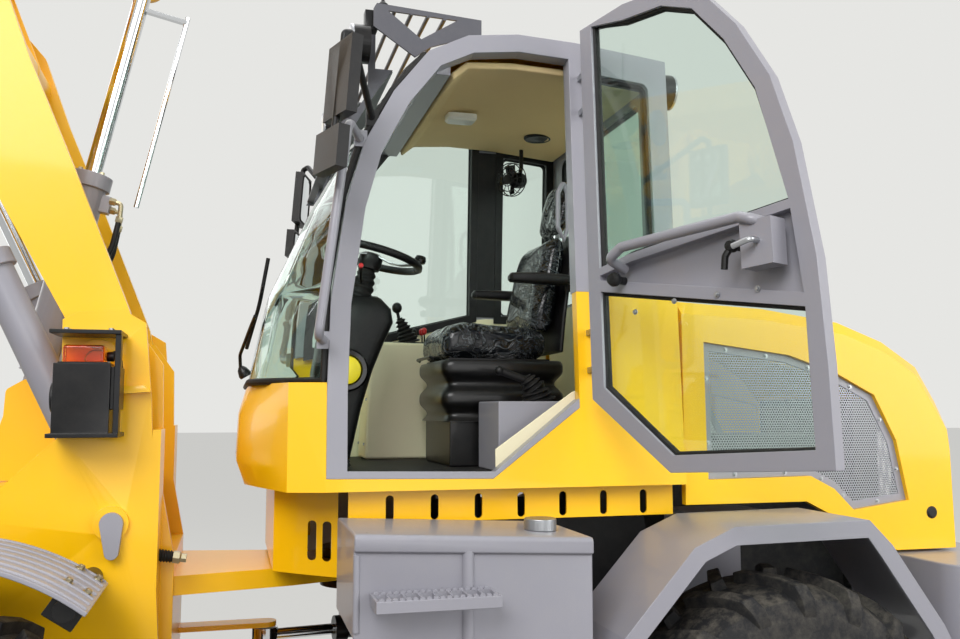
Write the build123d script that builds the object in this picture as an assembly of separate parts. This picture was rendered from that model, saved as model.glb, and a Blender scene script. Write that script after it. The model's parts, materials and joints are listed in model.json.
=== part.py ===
from build123d import *
import os
from math import atan, cos, degrees, pi, radians, sin, tan

os.makedirs("parts", exist_ok=True)

# Compact wheel loader, millimetres. Origin on the ground under the articulation pin,
# -X is the front, +X the rear, -Y the door side, Z up.

# Whole machine
overall_half_width = 1000
axle_offset = 1180
axle_height = 537
wheel_centre_y = 785

# Tyres and rims
tyre_radius = 537
tyre_width = 400
tyre_sides = 20
tyre_bead_half = 161
tyre_wall_radius = 380
tyre_tread_half = 150
tyre_cavity_radius = 400
tyre_cavity_half = 120
lug_count = 18
lug_height = 34
lug_width = 52
lug_slant = 22
lug_root = 20
lug_crown = 120
lug_drop = 52
rim_radius = 250
rim_wall = 12
rim_disc = 16
wheel_hub_radius = 120
wheel_hub_reach = 35
wheel_face_gap = 0.3

# Running fits
pin_fit = 0.4
slide_fit = 0.4
side_gap = 4
body_gap = 8

# Axles
axle_tube_radius = 82
axle_case_radius = 175
axle_case_length = 330
axle_flange_radius = 125
axle_flange = 45
axle_pad_half = 110
axle_pad_width = 90

# Articulation
hinge_radius = 120
hinge_pin_radius = 45
tongue_thick = 60
clevis_thick = 32
upper_tongue_z = 1010
lower_tongue_z = 470
tongue_half_width = 200
tongue_root_x = -470
clevis_root_x = 195

# Rear frame
rail_y = 330
rail_thick = 30
rail_bottom = 630
rail_top = 900
rail_rear = 1990
saddle_top = 1200
saddle_rear = 960
cross_plate = 28
mount_radius = 45

# Engine and radiator
engine_length = 720
engine_width = 480
engine_bottom = 760
engine_height = 700
engine_front = 1130
radiator_thick = 110
radiator_width = 640
radiator_height = 760

# Counterweight
weight_front = 1790
weight_rear = 2200
weight_half_width = 900
weight_bottom = 600
weight_top = 1066
weight_corner = 90
weight_slot_gap = 6

# Cab
cab_bottom = 1320
cab_floor_thick = 40
cab_wall = 40
cab_frame_depth = 55
cab_half_width = 640
cab_lean = 3.6
sill_z = 1380
belt_z = 1940
cab_rear = 985
frame_band = 62
a_foot_x = -168
b_pillar_x = 651
b_pillar_width = 50
roof_thick = 36
glass_thick = 8
glass_gap = 1
liner_thick = 24
rear_header = 110

# Cab side outline, x and z, from the foot of the front pillar over the roof to the rear pillar
side_outline = [
    (a_foot_x, sill_z),
    (a_foot_x, 1617),
    (-159, 1883),
    (-116, 2192),
    (-61, 2388),
    (34, 2569),
    (148, 2715),
    (281, 2782),
    (451, 2804),
    (b_pillar_x, 2796),
    (cab_rear, 2760),
]

# Sill line of the doorway, from the rear corner of the straight sill up to the rear post
sill_corner_x = 344
sill_drop = 8
sill_rise_z = 1596
sill_band = 22

# Side windows, x from, x to, z from, top margin below the roof edge
right_window_rear = 566
right_window_front_z = 1806
right_belt_front_z = 1772
right_belt_rear_x = 590
rear_window_front = 705
rear_window_rear = 915
window_bottom = 1972
window_top = 2690

# Cab nose, z, x at the middle, x at the corner, half width at the corner
nose_sections = [
    (cab_bottom, -392, -352, 400),
    (1395, -419, -372, 410),
    (1544, -413, -366, 410),
    (1640, -386, -340, 405),
]

# Windscreen, z, x of the glass, half width at the corner, x where it meets the side post
screen_sweep = 0.2
screen_sections = [
    (1646, -386, 405, -176),
    (1925, -330, 400, -168),
    (2214, -200, 395, -124),
    (2388, -108, 390, -72),
    (2569, 0, 385, 30),
    (2700, 100, 380, 136),
]

# Door, measured closed in the plane of the cab side
door_open = 112
door_thick = 38
door_gap = 6
door_hinge_x = 668
door_hinge_out = 52
door_band = 52
door_rail_band = 36
door_rail_hinge_z = 1950
door_rail_latch_z = 1800
door_panel_hinge_z = 2010
door_panel_latch_z = 2045
door_tube_radius = 15
door_tube_reach = 62
latch_length = 95
latch_height = 120
latch_depth = 60
door_hinge_radius = 16
door_hinge_height = 90

# Hood
hood_front = 1000
hood_half_width = 605
hood_wall = 28
hood_edge_radius = 75
hood_hinge_x = 1012
hood_hinge_z = 1950
hood_hinge_radius = 14
hood_hinge_y = 300
hood_hinge_width = 80

# Hood side outline, x and z
hood_outline = [
    (hood_front, 1250),
    (1450, 1250),
    (1800, 1075),
    (2045, 1075),
    (2039, 1414),
    (2020, 1590),
    (1945, 1712),
    (1806, 1800),
    (1624, 1866),
    (1330, 1906),
    (hood_front, 1922),
]

# Side grille outline of the hood, x and z
grille_outline = [
    (1084, 1330),
    (1470, 1335),
    (1560, 1290),
    (1634, 1217),
    (1858, 1245),
    (1815, 1453),
    (1733, 1610),
    (1575, 1689),
    (1400, 1745),
    (1079, 1784),
]
grille_thick = 10
grille_rim = 26

# Tanks, steps and rear fenders
tank_inner_y = 610
tank_outer_y = overall_half_width
tank_front = -130
tank_rear = 520
tank_top = 1235
tank_lid = 45
tank_lid_lip = 12
tank_bottom = 620
tank_edge = 14
cap_radius = 46
cap_height = 34
cap_x = 416
cap_y = 850
step_front = -88
step_rear = 232
step_depth = 100
step_rise = 30
step_top = 1095
fender_inner_y = 640
fender_skin = 14
fender_flange = 52

# Rear fender arch, x and z of the outer edge
fender_outline = [
    (tank_rear + 6, 800),
    (605, 942),
    (820, 1176),
    (946, 1229),
    (1392, 1235),
    (1468, 1160),
    (1639, 919),
    (1700, 800),
]

# Slotted skirts below the cab
skirt_y = 580
skirt_thick = 8
skirt_front = -95
skirt_rear = 965
skirt_bottom = 1220
slot_width = 25
slot_height = 76
slot_count = 7
box_front = -300
box_front_half = 330
box_side_x = -116
box_bottom = 1052
box_top = 1262
box_slots = 3

# Roof guard, lamps and mirrors
guard_front = -27
guard_rear = 333
guard_top = 2868
guard_plate = 8
guard_half_width = 520
guard_bars = 7
guard_bar_radius = 7
guard_slats = 6
slat_depth = 26
slat_thick = 5
slat_lift = 34
slat_low_z = 2400
slat_high_z = 2690
slat_half = 385
lamp_radius = 62
lamp_depth = 55
mirror_y = 800
mirror_x = -150
mirror_arm_radius = 11
mirror_height = 225
mirror_width = 160
mirror_depth = 34
rail_radius = 14
handrail_y = 722
handrail_top_z = 2400
handrail_low_z = 1766
mirror_foot_z = 2470
foot_reach = 36
foot_tall = 52
foot_thick = 10
foot_sink = 4

# Seat and controls
seat_x = 500
seat_width = 480
seat_box_top = 1516
bellows_top = 1735
cushion_top = 1868
seat_front = 256
back_top = 2460
console_y = 345
console_front = 80
console_rear = 640
console_top = 1835
box_left_front = 395
box_left_rear = 640
box_left_top = 1587
box_left_y = 500
column_x = -60
wheel_x = 50
wheel_z = 2125
wheel_ring_radius = 180
wheel_ring_tube = 15
wheel_tilt = -14

# Tower on the front frame
tower_y = 420
tower_inner_y = 275
tower_plate = 25
slot_y = 360
boom_pivot = (-822, 1702)
boom_pin_radius = 38
lift_base = (-771, 1229)
tilt_base = (-1092, 1595)
tilt_lug_y = 62
tilt_lug_thick = 26
lock_plate_thick = 12

# Boom arms
arm_thick = 50
bucket_pivot = (-2342, 3222)
lift_head = (-1467, 2669)
lift_ear_root = (-1360, 2790)
lift_ear_thick = 14
lift_drift = 66
lever_pivot = (-1347, 3164)
boom_tube_radius = 60
boom_tube_place = (-1190, 2760)
bracket_y = 105
bracket_thick = 24

# Lift cylinders
lift_barrel_radius = 52
lift_rod_radius = 27
lift_barrel_length = 880
cylinder_eye_radius = 58
cylinder_eye_width = 60
cylinder_pin_radius = 28
cylinder_neck = 34
cylinder_neck_from = 40
rod_eye_radius = 46
gland_length = 46
gland_extra = 12

# Tilt cylinder and lever linkage
tilt_barrel_radius = 57
tilt_rod_radius = 28
tilt_barrel_length = 792
tilt_length = 1529
tilt_side = 0.2125
lever_low = (-1555, 2937)
lever_half = 22
link_end = (-2251, 3392)
link_eye = 48
link_web = 32
lever_cap_radius = 96
lever_cap = 28
link_cap_radius = 80
link_cap = 22
cap_gap = 2
indicator_radius = 9
indicator_offset = 165
indicator_length = 720

# Bucket
bucket_half_width = 1000
bucket_wall = 16
bucket_lip = 980
bucket_ear_thick = 24
bucket_hub_radius = 84
bucket_hub_width = 98
bucket_hub_gap = 6

# Steering cylinders
steer_base = (430, 262)
steer_eye = (-300, 175)
steer_z = 740
steer_barrel_radius = 36
steer_rod_radius = 20
steer_barrel_length = 480
steer_rod_tail = 285
steer_window_half = 132
steer_window_notch = 8
steer_window_rise = 62

# Front mudguards
guard_arc_radius = 692
guard_arc_thick = 12
guard_arc_from = 52
guard_arc_to = 124
guard_inner_y = 590
guard_outer_y = 985
guard_tube_radius = 28


def outline(points, radius=0):
    """Closed flat face through the points, with every corner rounded where a radius is given."""
    if radius:
        return make_face(FilletPolyline(*points, radius=radius, close=True))
    return make_face(Polyline(*points, close=True))


def side_plate(points, y_from, y_to, radius=0):
    """Plate with its outline given in x and z."""
    face = Plane.XZ.offset(-y_to) * outline(points, radius)
    return extrude(face, amount=y_to - y_from)


def flat_plate(points, z_from, z_to, radius=0):
    """Plate with its outline given in x and y."""
    face = Plane.XY.offset(z_from) * outline(points, radius)
    return extrude(face, amount=z_to - z_from)


def cross_plate_at(points, x_from, x_to, radius=0):
    """Plate with its outline given in y and z."""
    face = Plane.YZ.offset(x_from) * outline(points, radius)
    return extrude(face, amount=x_to - x_from)


def block(x_from, x_to, y_from, y_to, z_from, z_to):
    """Box between six given planes."""
    size = (x_to - x_from, y_to - y_from, z_to - z_from)
    middle = ((x_from + x_to) / 2, (y_from + y_to) / 2, (z_from + z_to) / 2)
    return Pos(*middle) * Box(*size)


def cross_rod(place, y_from, y_to, radius):
    """Round bar along Y through a place given in x and z."""
    x, z = place
    return Pos(x, (y_from + y_to) / 2, z) * Rot(90, 0, 0) * Cylinder(radius, y_to - y_from)


def upright(x, y, z_from, z_to, radius):
    """Round bar standing along Z."""
    return Pos(x, y, (z_from + z_to) / 2) * Cylinder(radius, z_to - z_from)


def rod_between(start, end, radius):
    """Round bar between two points."""
    line = Line(start, end)
    return sweep(Plane(origin=start, z_dir=line % 0) * Circle(radius), path=line)


def tube(points, radius, bend):
    """Round tube of straight runs joined by tangent arcs."""
    path = FilletPolyline(*points, radius=bend)
    return sweep(Plane(origin=points[0], z_dir=path % 0) * Circle(radius), path=path)


def both(shape):
    """The shape and its mirror image on the other side of the machine."""
    return Compound(children=[shape, mirror(shape, about=Plane.XZ)])


def group(*shapes):
    """Several solids kept in one node."""
    return Compound(children=[solid for shape in shapes for solid in shape.solids()])


def save(name, shape):
    """Writes one sub-part."""
    export_step(shape, f"parts/{name}.step")


def span(place, other):
    """Distance between two places in x and z."""
    return ((other[0] - place[0]) ** 2 + (other[1] - place[1]) ** 2) ** 0.5


def strap(place, other, radius, y_from, y_to):
    """Plate with round ends over two pins, both in x and z."""
    x, z = place
    run = span(place, other)
    slope = degrees(atan((other[1] - z) / (other[0] - x)))
    flip = 180 if other[0] < x else 0
    bar = Pos(run / 2, 0) * Rectangle(run, 2 * radius) + Circle(radius) + Pos(run, 0) * Circle(radius)
    solid = extrude(Plane.XZ * (Rot(0, 0, slope + flip) * bar), amount=y_to - y_from)
    return Pos(x, y_to, z) * solid


def cab_side(shape):
    """Places a shape drawn in the plane of the left cab side, y inwards from its outer face."""
    drawn = Pos(0, 0, -sill_z) * shape
    return Pos(0, -cab_half_width, sill_z) * Rot(-cab_lean, 0, 0) * drawn


def cab_half_at(z):
    """Half width of the cab's outer face at a height."""
    return cab_half_width - (z - sill_z) * tan(radians(cab_lean))


def offset_outline(points, distance):
    """Moves each point of an open chain to its right-hand side by a distance."""
    moved = []
    for index, (x, z) in enumerate(points):
        before = points[max(index - 1, 0)]
        after = points[min(index + 1, len(points) - 1)]
        run = span(before, after)
        moved.append((x + (after[1] - before[1]) / run * distance, z - (after[0] - before[0]) / run * distance))
    return moved


# Wheels
def polygon_ring(radius, y):
    """Regular polygon about the wheel's axle with its flats at a radius."""
    corner = radius / cos(pi / tyre_sides)
    step = 2 * pi / tyre_sides
    points = [(corner * cos(index * step), corner * sin(index * step)) for index in range(tyre_sides)]
    return Plane.XZ.offset(-y) * make_face(Polyline(*points, close=True))


def tyre_lug(hand):
    """One slanting lug from the middle of the tread over one shoulder, at the top of the tyre."""
    half = tyre_width / 2 - 1
    tread = tyre_radius - lug_height
    profile = [
        (-lug_root / 2, tread - lug_root),
        (-lug_root / 2, tyre_radius),
        (lug_crown, tyre_radius),
        (half - 2, tyre_radius - lug_drop),
        (half - 2, tread - lug_drop - lug_root),
    ]
    face = Plane.YZ.offset(-lug_width / 2) * make_face(Polyline(*[(hand * y, r) for y, r in profile], close=True))
    return extrude(face, amount=lug_width).rotate(Axis.Z, hand * lug_slant)


def tyre_solid():
    """Tyre about its own axle: a carcass with open side walls and two rows of lugs."""
    half = tyre_width / 2 - 1
    tread = tyre_radius - lug_height
    stations = [(rim_radius - 6, tyre_bead_half), (tyre_wall_radius, half), (tread, tyre_tread_half)]
    faces = [polygon_ring(radius, -y) for radius, y in stations]
    faces += [polygon_ring(radius, y) for radius, y in reversed(stations)]
    carcass = loft(faces, ruled=True)
    carcass -= loft([polygon_ring(rim_radius, -half), polygon_ring(rim_radius, half)], ruled=True)
    cavity = Plane.XZ.offset(-tyre_cavity_half) * RegularPolygon(tyre_cavity_radius, 8)
    carcass -= extrude(cavity, amount=2 * tyre_cavity_half)
    lugs = []
    for hand, start in ((1, 0), (-1, 0.5)):
        item = tyre_lug(hand)
        for index in range(lug_count):
            lugs.append(Rot(0, (index + start) * 360 / lug_count, 0) * item)
    return carcass.fuse(*lugs)


def rim_solid():
    """Rim about its own axle, with the outer side towards -Y."""
    half = tyre_width / 2 - 8
    hub_inner = wheel_centre_y - axle_end_y - wheel_face_gap
    ring = Cylinder(rim_radius, 2 * half) - Cylinder(rim_radius - rim_wall, 2 * half)
    flange = Cylinder(rim_radius + 18, rim_wall) - Cylinder(rim_radius - rim_wall, rim_wall)
    disc = Cylinder(rim_radius - rim_wall, rim_disc)
    hub = Pos(0, 0, (wheel_hub_reach - hub_inner) / 2) * Cylinder(wheel_hub_radius, hub_inner + wheel_hub_reach)
    wheel = ring + disc + hub
    for end in (-1, 1):
        wheel += Pos(0, 0, end * (half - rim_wall / 2)) * flange
    return Rot(90, 0, 0) * wheel


axle_end_y = 605
tyre = tyre_solid()
rim = rim_solid()
for end, x in (("front", -axle_offset), ("rear", axle_offset)):
    for hand, y in (("left", -wheel_centre_y), ("right", wheel_centre_y)):
        turn = Rot(0, 0, 0 if hand == "left" else 180)
        save(f"{end}_{hand}_tyre", Pos(x, y, axle_height) * turn * tyre)
        save(f"{end}_{hand}_rim", Pos(x, y, axle_height) * turn * rim)


# Axles
def axle(x, seat_z):
    """Driven axle with its final-drive case and pads up to the frame."""
    length = 2 * (axle_end_y - axle_flange)
    beam = cross_rod((x, axle_height), -length / 2, length / 2, axle_tube_radius)
    beam += cross_rod((x, axle_height), -axle_case_length / 2, axle_case_length / 2, axle_case_radius)
    for hand in (-1, 1):
        inner = min(hand * axle_end_y, hand * (axle_end_y - axle_flange))
        beam += cross_rod((x, axle_height), inner, inner + axle_flange, axle_flange_radius)
        pad_inner = min(hand * (rail_y - 30), hand * (rail_y - 30 + axle_pad_width))
        pad = block(x - axle_pad_half, x + axle_pad_half, pad_inner, pad_inner + axle_pad_width, axle_height, seat_z)
        beam += pad
    return beam


front_seat_z = axle_height + axle_case_radius + 13
save("rear_axle", axle(axle_offset, rail_bottom))
save("front_axle", axle(-axle_offset, front_seat_z))


# Rear frame
rail_points = [
    (clevis_root_x, 390),
    (clevis_root_x, 1120),
    (300, saddle_top),
    (saddle_rear, saddle_top),
    (saddle_rear + 60, rail_top),
    (rail_rear, rail_top),
    (rail_rear, rail_bottom),
    (900, rail_bottom),
    (560, 440),
    (420, 390),
]
rear_frame = block(clevis_root_x, clevis_root_x + cross_plate, -rail_y, rail_y, 390, 1120)
for x_from in (saddle_rear, rail_rear - cross_plate):
    rear_frame += block(x_from, x_from + cross_plate, -rail_y, rail_y, rail_bottom, rail_top)
for hand in (-1, 1):
    inner = min(hand * rail_y, hand * (rail_y + rail_thick))
    rear_frame += side_plate(rail_points, inner, inner + rail_thick)
clevis_points = [(0, -hinge_radius), (0, hinge_radius), (clevis_root_x + 5, rail_y), (clevis_root_x + 5, -rail_y)]
for middle in (upper_tongue_z, lower_tongue_z):
    for side in (-1, 1):
        gap = tongue_thick / 2 + side_gap
        z_from = middle + gap if side > 0 else middle - gap - clevis_thick
        leaf = flat_plate(clevis_points, z_from, z_from + clevis_thick)
        rear_frame += leaf + upright(0, 0, z_from, z_from + clevis_thick, hinge_radius)
    half = tongue_thick / 2 + side_gap + clevis_thick + 12
    rear_frame += upright(0, 0, middle - half, middle + half, hinge_pin_radius)
for hand in (-1, 1):
    base_x, base_y = steer_base
    for side in (-1, 1):
        z_mid = steer_z + side * (cylinder_eye_width / 2 + side_gap + 9)
        rear_frame += upright(base_x, hand * base_y, z_mid - 9, z_mid + 9, 45)
        wing_from, wing_to = sorted((hand * base_y, hand * rail_y))
        rear_frame += block(base_x - 45, base_x + 45, wing_from, wing_to, z_mid - 9, z_mid + 9)
    rear_frame += upright(base_x, hand * base_y, steer_z - 52, steer_z + 52, cylinder_pin_radius)
steer_window_from = steer_base[1] - steer_window_half
steer_window_to = rail_y + steer_window_notch
for hand in (-1, 1):
    y_from, y_to = sorted((hand * steer_window_from, hand * steer_window_to))
    plate_rear = clevis_root_x + cross_plate + 1
    rear_frame -= block(clevis_root_x - 1, plate_rear, y_from, y_to, steer_z - steer_window_rise, steer_z + steer_window_rise)
for x in (330, 900):
    for hand in (-1, 1):
        rear_frame += upright(x, hand * (rail_y + rail_thick / 2), saddle_top - 10, cab_bottom, mount_radius)
save("rear_frame", rear_frame)

# Engine and radiator
engine = block(
    engine_front, engine_front + engine_length, -engine_width / 2, engine_width / 2,
    engine_bottom, engine_bottom + engine_height,
)
for x in (engine_front + 90, engine_front + engine_length - 90):
    engine += block(x - 50, x + 50, -rail_y, rail_y, engine_bottom + 40, engine_bottom + 90)
radiator_z = rail_top - 60
radiator_x = rail_rear - cross_plate - radiator_thick
radiator = block(
    radiator_x, radiator_x + radiator_thick, -radiator_width / 2, radiator_width / 2,
    radiator_z, radiator_z + radiator_height,
)
save("engine_block", group(engine, radiator))

# Counterweight around the rails' ends
weight_points = [
    (weight_front, -weight_half_width),
    (weight_rear, -weight_half_width),
    (weight_rear, weight_half_width),
    (weight_front, weight_half_width),
]
counterweight = flat_plate(weight_points, weight_bottom, weight_top, weight_corner)
slot_half = rail_y + rail_thick
counterweight -= block(weight_front - 10, rail_rear, -slot_half, slot_half, weight_bottom - 1, weight_top + 1)
counterweight += cross_rod((weight_rear, weight_bottom + 120), -60, 60, 46)
save("counterweight", counterweight)

# Cab side frames
inner_outline = offset_outline(side_outline, frame_band)
door_hole_front = [(x, z) for x, z in inner_outline[:-2]]
door_hole = [(a_foot_x + frame_band, sill_z)] + door_hole_front[1:]
door_hole += [(b_pillar_x - b_pillar_width / 2, inner_outline[-2][1])]
door_hole += [(b_pillar_x - b_pillar_width / 2, sill_rise_z), (sill_corner_x, sill_z - sill_drop)]
rear_hole = [
    (rear_window_front, window_bottom),
    (rear_window_front, window_top),
    (rear_window_rear, window_top - 20),
    (rear_window_rear, window_bottom),
]
shell_left_points = [
    (a_foot_x, cab_bottom),
    (a_foot_x, sill_z - sill_band),
    (sill_corner_x - 6, sill_z - sill_drop - sill_band),
    (b_pillar_x - b_pillar_width / 2, sill_rise_z - sill_band - 8),
    (b_pillar_x - b_pillar_width / 2, belt_z),
    (cab_rear, belt_z),
    (cab_rear, cab_bottom),
]
shell_right_points = [
    (a_foot_x, cab_bottom),
    (a_foot_x, right_belt_front_z),
    (right_belt_rear_x, belt_z),
    (cab_rear, belt_z),
    (cab_rear, cab_bottom),
]
full_side = side_outline + [(cab_rear, cab_bottom), (a_foot_x, cab_bottom)]
left_frame = side_plate(full_side, 0, cab_frame_depth)
left_frame -= side_plate(shell_left_points, -1, cab_frame_depth + 1)
left_frame -= side_plate(door_hole, -1, cab_frame_depth + 1)
left_frame -= side_plate(rear_hole, -1, cab_frame_depth + 1, 30)
right_hole = [(x, z) for x, z in inner_outline[:-2] if z > right_window_front_z]
right_hole = [(inner_outline[1][0], right_window_front_z)] + right_hole
right_hole += [(right_window_rear, right_hole[-1][1]), (right_window_rear, window_bottom)]
right_frame = side_plate(full_side, 0, cab_frame_depth)
right_frame -= side_plate(shell_right_points, -1, cab_frame_depth + 1)
right_frame -= side_plate(right_hole, -1, cab_frame_depth + 1)
right_frame -= side_plate(rear_hole, -1, cab_frame_depth + 1, 30)
frame_left = cab_side(left_frame)
frame_right = mirror(cab_side(right_frame), about=Plane.XZ)

# Cab rear and roof rails
top_half = cab_half_at(2750)
inner_half = top_half - cab_frame_depth
rear_top_z = 2760
rear_reach = cab_half_at(belt_z) - cab_frame_depth + 6
rear_points = [
    (-rear_reach, belt_z),
    (-inner_half - 6, rear_top_z - 14),
    (inner_half + 6, rear_top_z - 14),
    (rear_reach, belt_z),
]
rear_opening = [
    (-inner_half + 60, belt_z + 60),
    (-inner_half + 90, rear_top_z - rear_header),
    (inner_half - 90, rear_top_z - rear_header),
    (inner_half - 60, belt_z + 60),
]
rear_wall = cross_plate_at(rear_points, cab_rear - cab_wall, cab_rear)
rear_wall -= cross_plate_at(rear_opening, cab_rear - cab_wall - 1, cab_rear + 1, 40)
header_x = side_outline[6][0]
header_z = side_outline[6][1]
header_half = cab_half_at(header_z - 62) - cab_frame_depth + 6
header = block(header_x + 12, header_x + 82, -header_half, header_half, header_z - 62, header_z - 12)
cab_frame = frame_left + frame_right + rear_wall + header
save("cab_frame", cab_frame)

# Cab lower shell: the nose, the two side walls and the rear wall
def nose_face(z, x_middle, x_corner, half_corner, inset):
    """Cross-section of the nose at a height, drawn inwards by an inset."""
    side = cab_half_at(z) - inset
    points = [
        (a_foot_x, -side),
        (a_foot_x - 110, -side + 30),
        (x_corner + inset, -half_corner),
        (x_middle + inset, -half_corner + 130),
        (x_middle + inset, half_corner - 130),
        (x_corner + inset, half_corner),
        (a_foot_x - 110, side - 30),
        (a_foot_x, side),
    ]
    return Plane.XY.offset(z) * make_face(Polyline(*points, close=True))


nose_outer = loft([nose_face(*row, 0) for row in nose_sections], ruled=True)
nose_inner = loft([nose_face(*row, cab_wall) for row in nose_sections], ruled=True)
shell = nose_outer - nose_inner
shell += cab_side(side_plate(shell_left_points, 0, cab_wall))
shell += mirror(cab_side(side_plate(shell_right_points, 0, cab_wall)), about=Plane.XZ)
low_half = cab_half_at(cab_bottom) - cab_wall + 2
belt_half = cab_half_at(belt_z) - cab_wall + 2
wall_points = [(-low_half, cab_bottom), (-belt_half, belt_z), (belt_half, belt_z), (low_half, cab_bottom)]
shell += cross_plate_at(wall_points, cab_rear - cab_wall, cab_rear)
shell -= cab_frame
save("cab_lower_shell", shell)

# Cab floor with the cut-out nose
floor_points = [
    (cab_rear - cab_wall, -low_half + 6),
    (a_foot_x, -low_half + 6),
    (nose_sections[0][2] + cab_wall + 8, -nose_sections[0][3] + 6),
    (nose_sections[0][1] + cab_wall + 8, -nose_sections[0][3] + 136),
    (nose_sections[0][1] + cab_wall + 8, nose_sections[0][3] - 136),
    (nose_sections[0][2] + cab_wall + 8, nose_sections[0][3] - 6),
    (a_foot_x, low_half - 6),
    (cab_rear - cab_wall, low_half - 6),
]
cab_floor = flat_plate(floor_points, cab_bottom, cab_bottom + cab_floor_thick)
cab_floor -= frame_left
cab_floor -= frame_right
save("cab_floor", cab_floor)

# Roof and liner
roof_front = header_x + 14
roof_points = [
    (roof_front, 2718), (281, 2786), (451, 2808), (b_pillar_x, 2800), (cab_rear, 2764),
    (cab_rear, 2764 - roof_thick), (b_pillar_x, 2800 - roof_thick),
    (451, 2808 - roof_thick), (295, 2786 - roof_thick), (roof_front + 12, 2718 - roof_thick + 22),
]
roof = side_plate(roof_points, -inner_half + 4, inner_half - 4)
roof -= cab_frame
save("cab_roof", roof)
liner_points = [
    (header_x + 90, 2672), (290, 2716), (451, 2728), (b_pillar_x, 2722), (cab_rear - cab_wall - 6, 2694),
    (cab_rear - cab_wall - 6, 2694 - liner_thick), (b_pillar_x, 2722 - liner_thick),
    (451, 2728 - liner_thick), (296, 2716 - liner_thick), (header_x + 96, 2672 - liner_thick),
]
liner = side_plate(liner_points, -inner_half + 12, inner_half - 12)
save("ceiling_liner", liner - cab_frame)


# Cab glass
def screen_face(z, x_glass, half_corner, x_post, inset):
    """Cross-section of the windscreen at a height, drawn inwards by an inset."""
    side = cab_half_at(z) - 14 - inset
    x_corner = x_glass + screen_sweep * (x_post - x_glass)
    points = [
        (x_post + inset, -side),
        (x_corner + inset, -half_corner - 20),
        (x_glass + inset, -half_corner + 60),
        (x_glass + inset, half_corner - 60),
        (x_corner + inset, half_corner + 20),
        (x_post + inset, side),
    ]
    return Plane.XY.offset(z) * make_face(Polyline(*points, close=True))


screen = loft([screen_face(*row, 0) for row in screen_sections], ruled=True)
screen -= loft([screen_face(*row, glass_thick) for row in screen_sections], ruled=True)
screen -= cab_frame
screen -= shell
screen -= roof
pane_y = cab_frame_depth / 2
left_pane = cab_side(side_plate(rear_hole, pane_y, pane_y + glass_thick, 30))
right_rear_pane = mirror(left_pane, about=Plane.XZ)
right_pane = mirror(cab_side(side_plate(right_hole, pane_y, pane_y + glass_thick)), about=Plane.XZ)
rear_pane_x = cab_rear - cab_wall / 2
rear_pane = cross_plate_at(rear_opening, rear_pane_x, rear_pane_x + glass_thick, 40)
save("cab_glass", group(screen, left_pane, right_rear_pane, right_pane, rear_pane))

# Slotted skirts and the front box below the cab
skirt = block(skirt_front, skirt_rear, -skirt_y, -skirt_y + skirt_thick, skirt_bottom, cab_bottom)
slot_step = (skirt_rear - skirt_front - 160) / (slot_count - 0.5)
slot_cut = SlotOverall(slot_height, slot_width)
for index in range(slot_count + 1):
    x = skirt_front + 125 + index * slot_step
    if x < skirt_rear - 40:
        cut = extrude(Plane.XZ * (Rot(0, 0, 90) * slot_cut), amount=20, both=True)
        skirt -= Pos(x, -skirt_y, (skirt_bottom + cab_bottom) / 2 - 6) * cut
box_points = [
    (box_side_x, -500), (box_front + 60, -box_front_half - 60), (box_front, -box_front_half),
    (box_front, box_front_half), (box_front + 60, box_front_half + 60), (box_side_x, 500),
]
wall = skirt_thick
box_inner = [
    (box_side_x + 1, -500 + wall), (box_front + 60 + 4, -box_front_half - 60 + wall),
    (box_front + wall, -box_front_half + 4), (box_front + wall, box_front_half - 4),
    (box_front + 60 + 4, box_front_half + 60 - wall), (box_side_x + 1, 500 - wall),
]
front_box = flat_plate(box_points, box_bottom, box_top) - flat_plate(box_inner, box_bottom - 1, box_top + 1)
front_box += flat_plate(box_points, box_top, cab_bottom)
box_slot = extrude(Plane.XZ * (Rot(0, 0, 90) * SlotOverall(slot_height * 1.6, slot_width)), amount=60, both=True)
for index in range(box_slots):
    x = box_side_x - 30 - index * 42
    for hand in (-1, 1):
        front_box -= Pos(x, hand * 470, (box_bottom + box_top) / 2) * box_slot
save("cab_skirts", group(both(skirt), front_box))

# Tanks with their filler caps
tank_points = [
    (tank_front, 985), (tank_front, tank_top + 10), (tank_rear, tank_top - 20),
    (tank_rear, tank_bottom), (60, tank_bottom), (60, 760),
]
tank = side_plate(tank_points, -tank_outer_y, -tank_inner_y)
tank = fillet(tank.edges().filter_by(Axis.X, tolerance=4).group_by(Axis.Z)[-1], tank_edge)
lid_low = [
    (tank_front - 1, tank_top + 10 - tank_lid), (tank_rear + 1, tank_top - 20 - tank_lid),
    (tank_rear + 1, tank_bottom - 1), (tank_front - 1, tank_bottom - 1),
]
tank -= side_plate(lid_low, -tank_outer_y - 1, -tank_outer_y + tank_lid_lip)
tank_arm = block(60, tank_rear, -tank_inner_y, -rail_y - rail_thick, tank_bottom + 60, tank_bottom + 220)
save("side_tanks", both(tank + tank_arm))
cap_seat = tank_top + 10 - 30 * (cap_x - tank_front) / (tank_rear - tank_front)
cap = upright(cap_x, -cap_y, cap_seat - 6, cap_seat + cap_height, cap_radius) - tank
save("filler_caps", both(cap))

# Steps on the tanks
step_z = step_top - step_rise
tank_wall_y = tank_outer_y - tank_lid_lip
step = block(step_front, step_rear, -tank_outer_y - step_depth, -tank_wall_y, step_z, step_top)
step -= block(step_front + 8, step_rear - 8, -tank_outer_y - step_depth + 8, -tank_outer_y - 8, step_z - 1, step_top + 1)
for index in range(1, 8):
    x = step_front + index * (step_rear - step_front) / 8
    step += block(x - 3, x + 3, -tank_outer_y - step_depth + 4, -tank_outer_y - 4, step_z + 4, step_top)
low_step = block(100, 420, -tank_outer_y - 60, -tank_wall_y, tank_bottom + 40, tank_bottom + 70)
low_step -= block(108, 412, -tank_outer_y - 52, -tank_outer_y - 8, tank_bottom + 30, tank_bottom + 80)
save("side_steps", both(group(step, low_step)))

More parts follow.
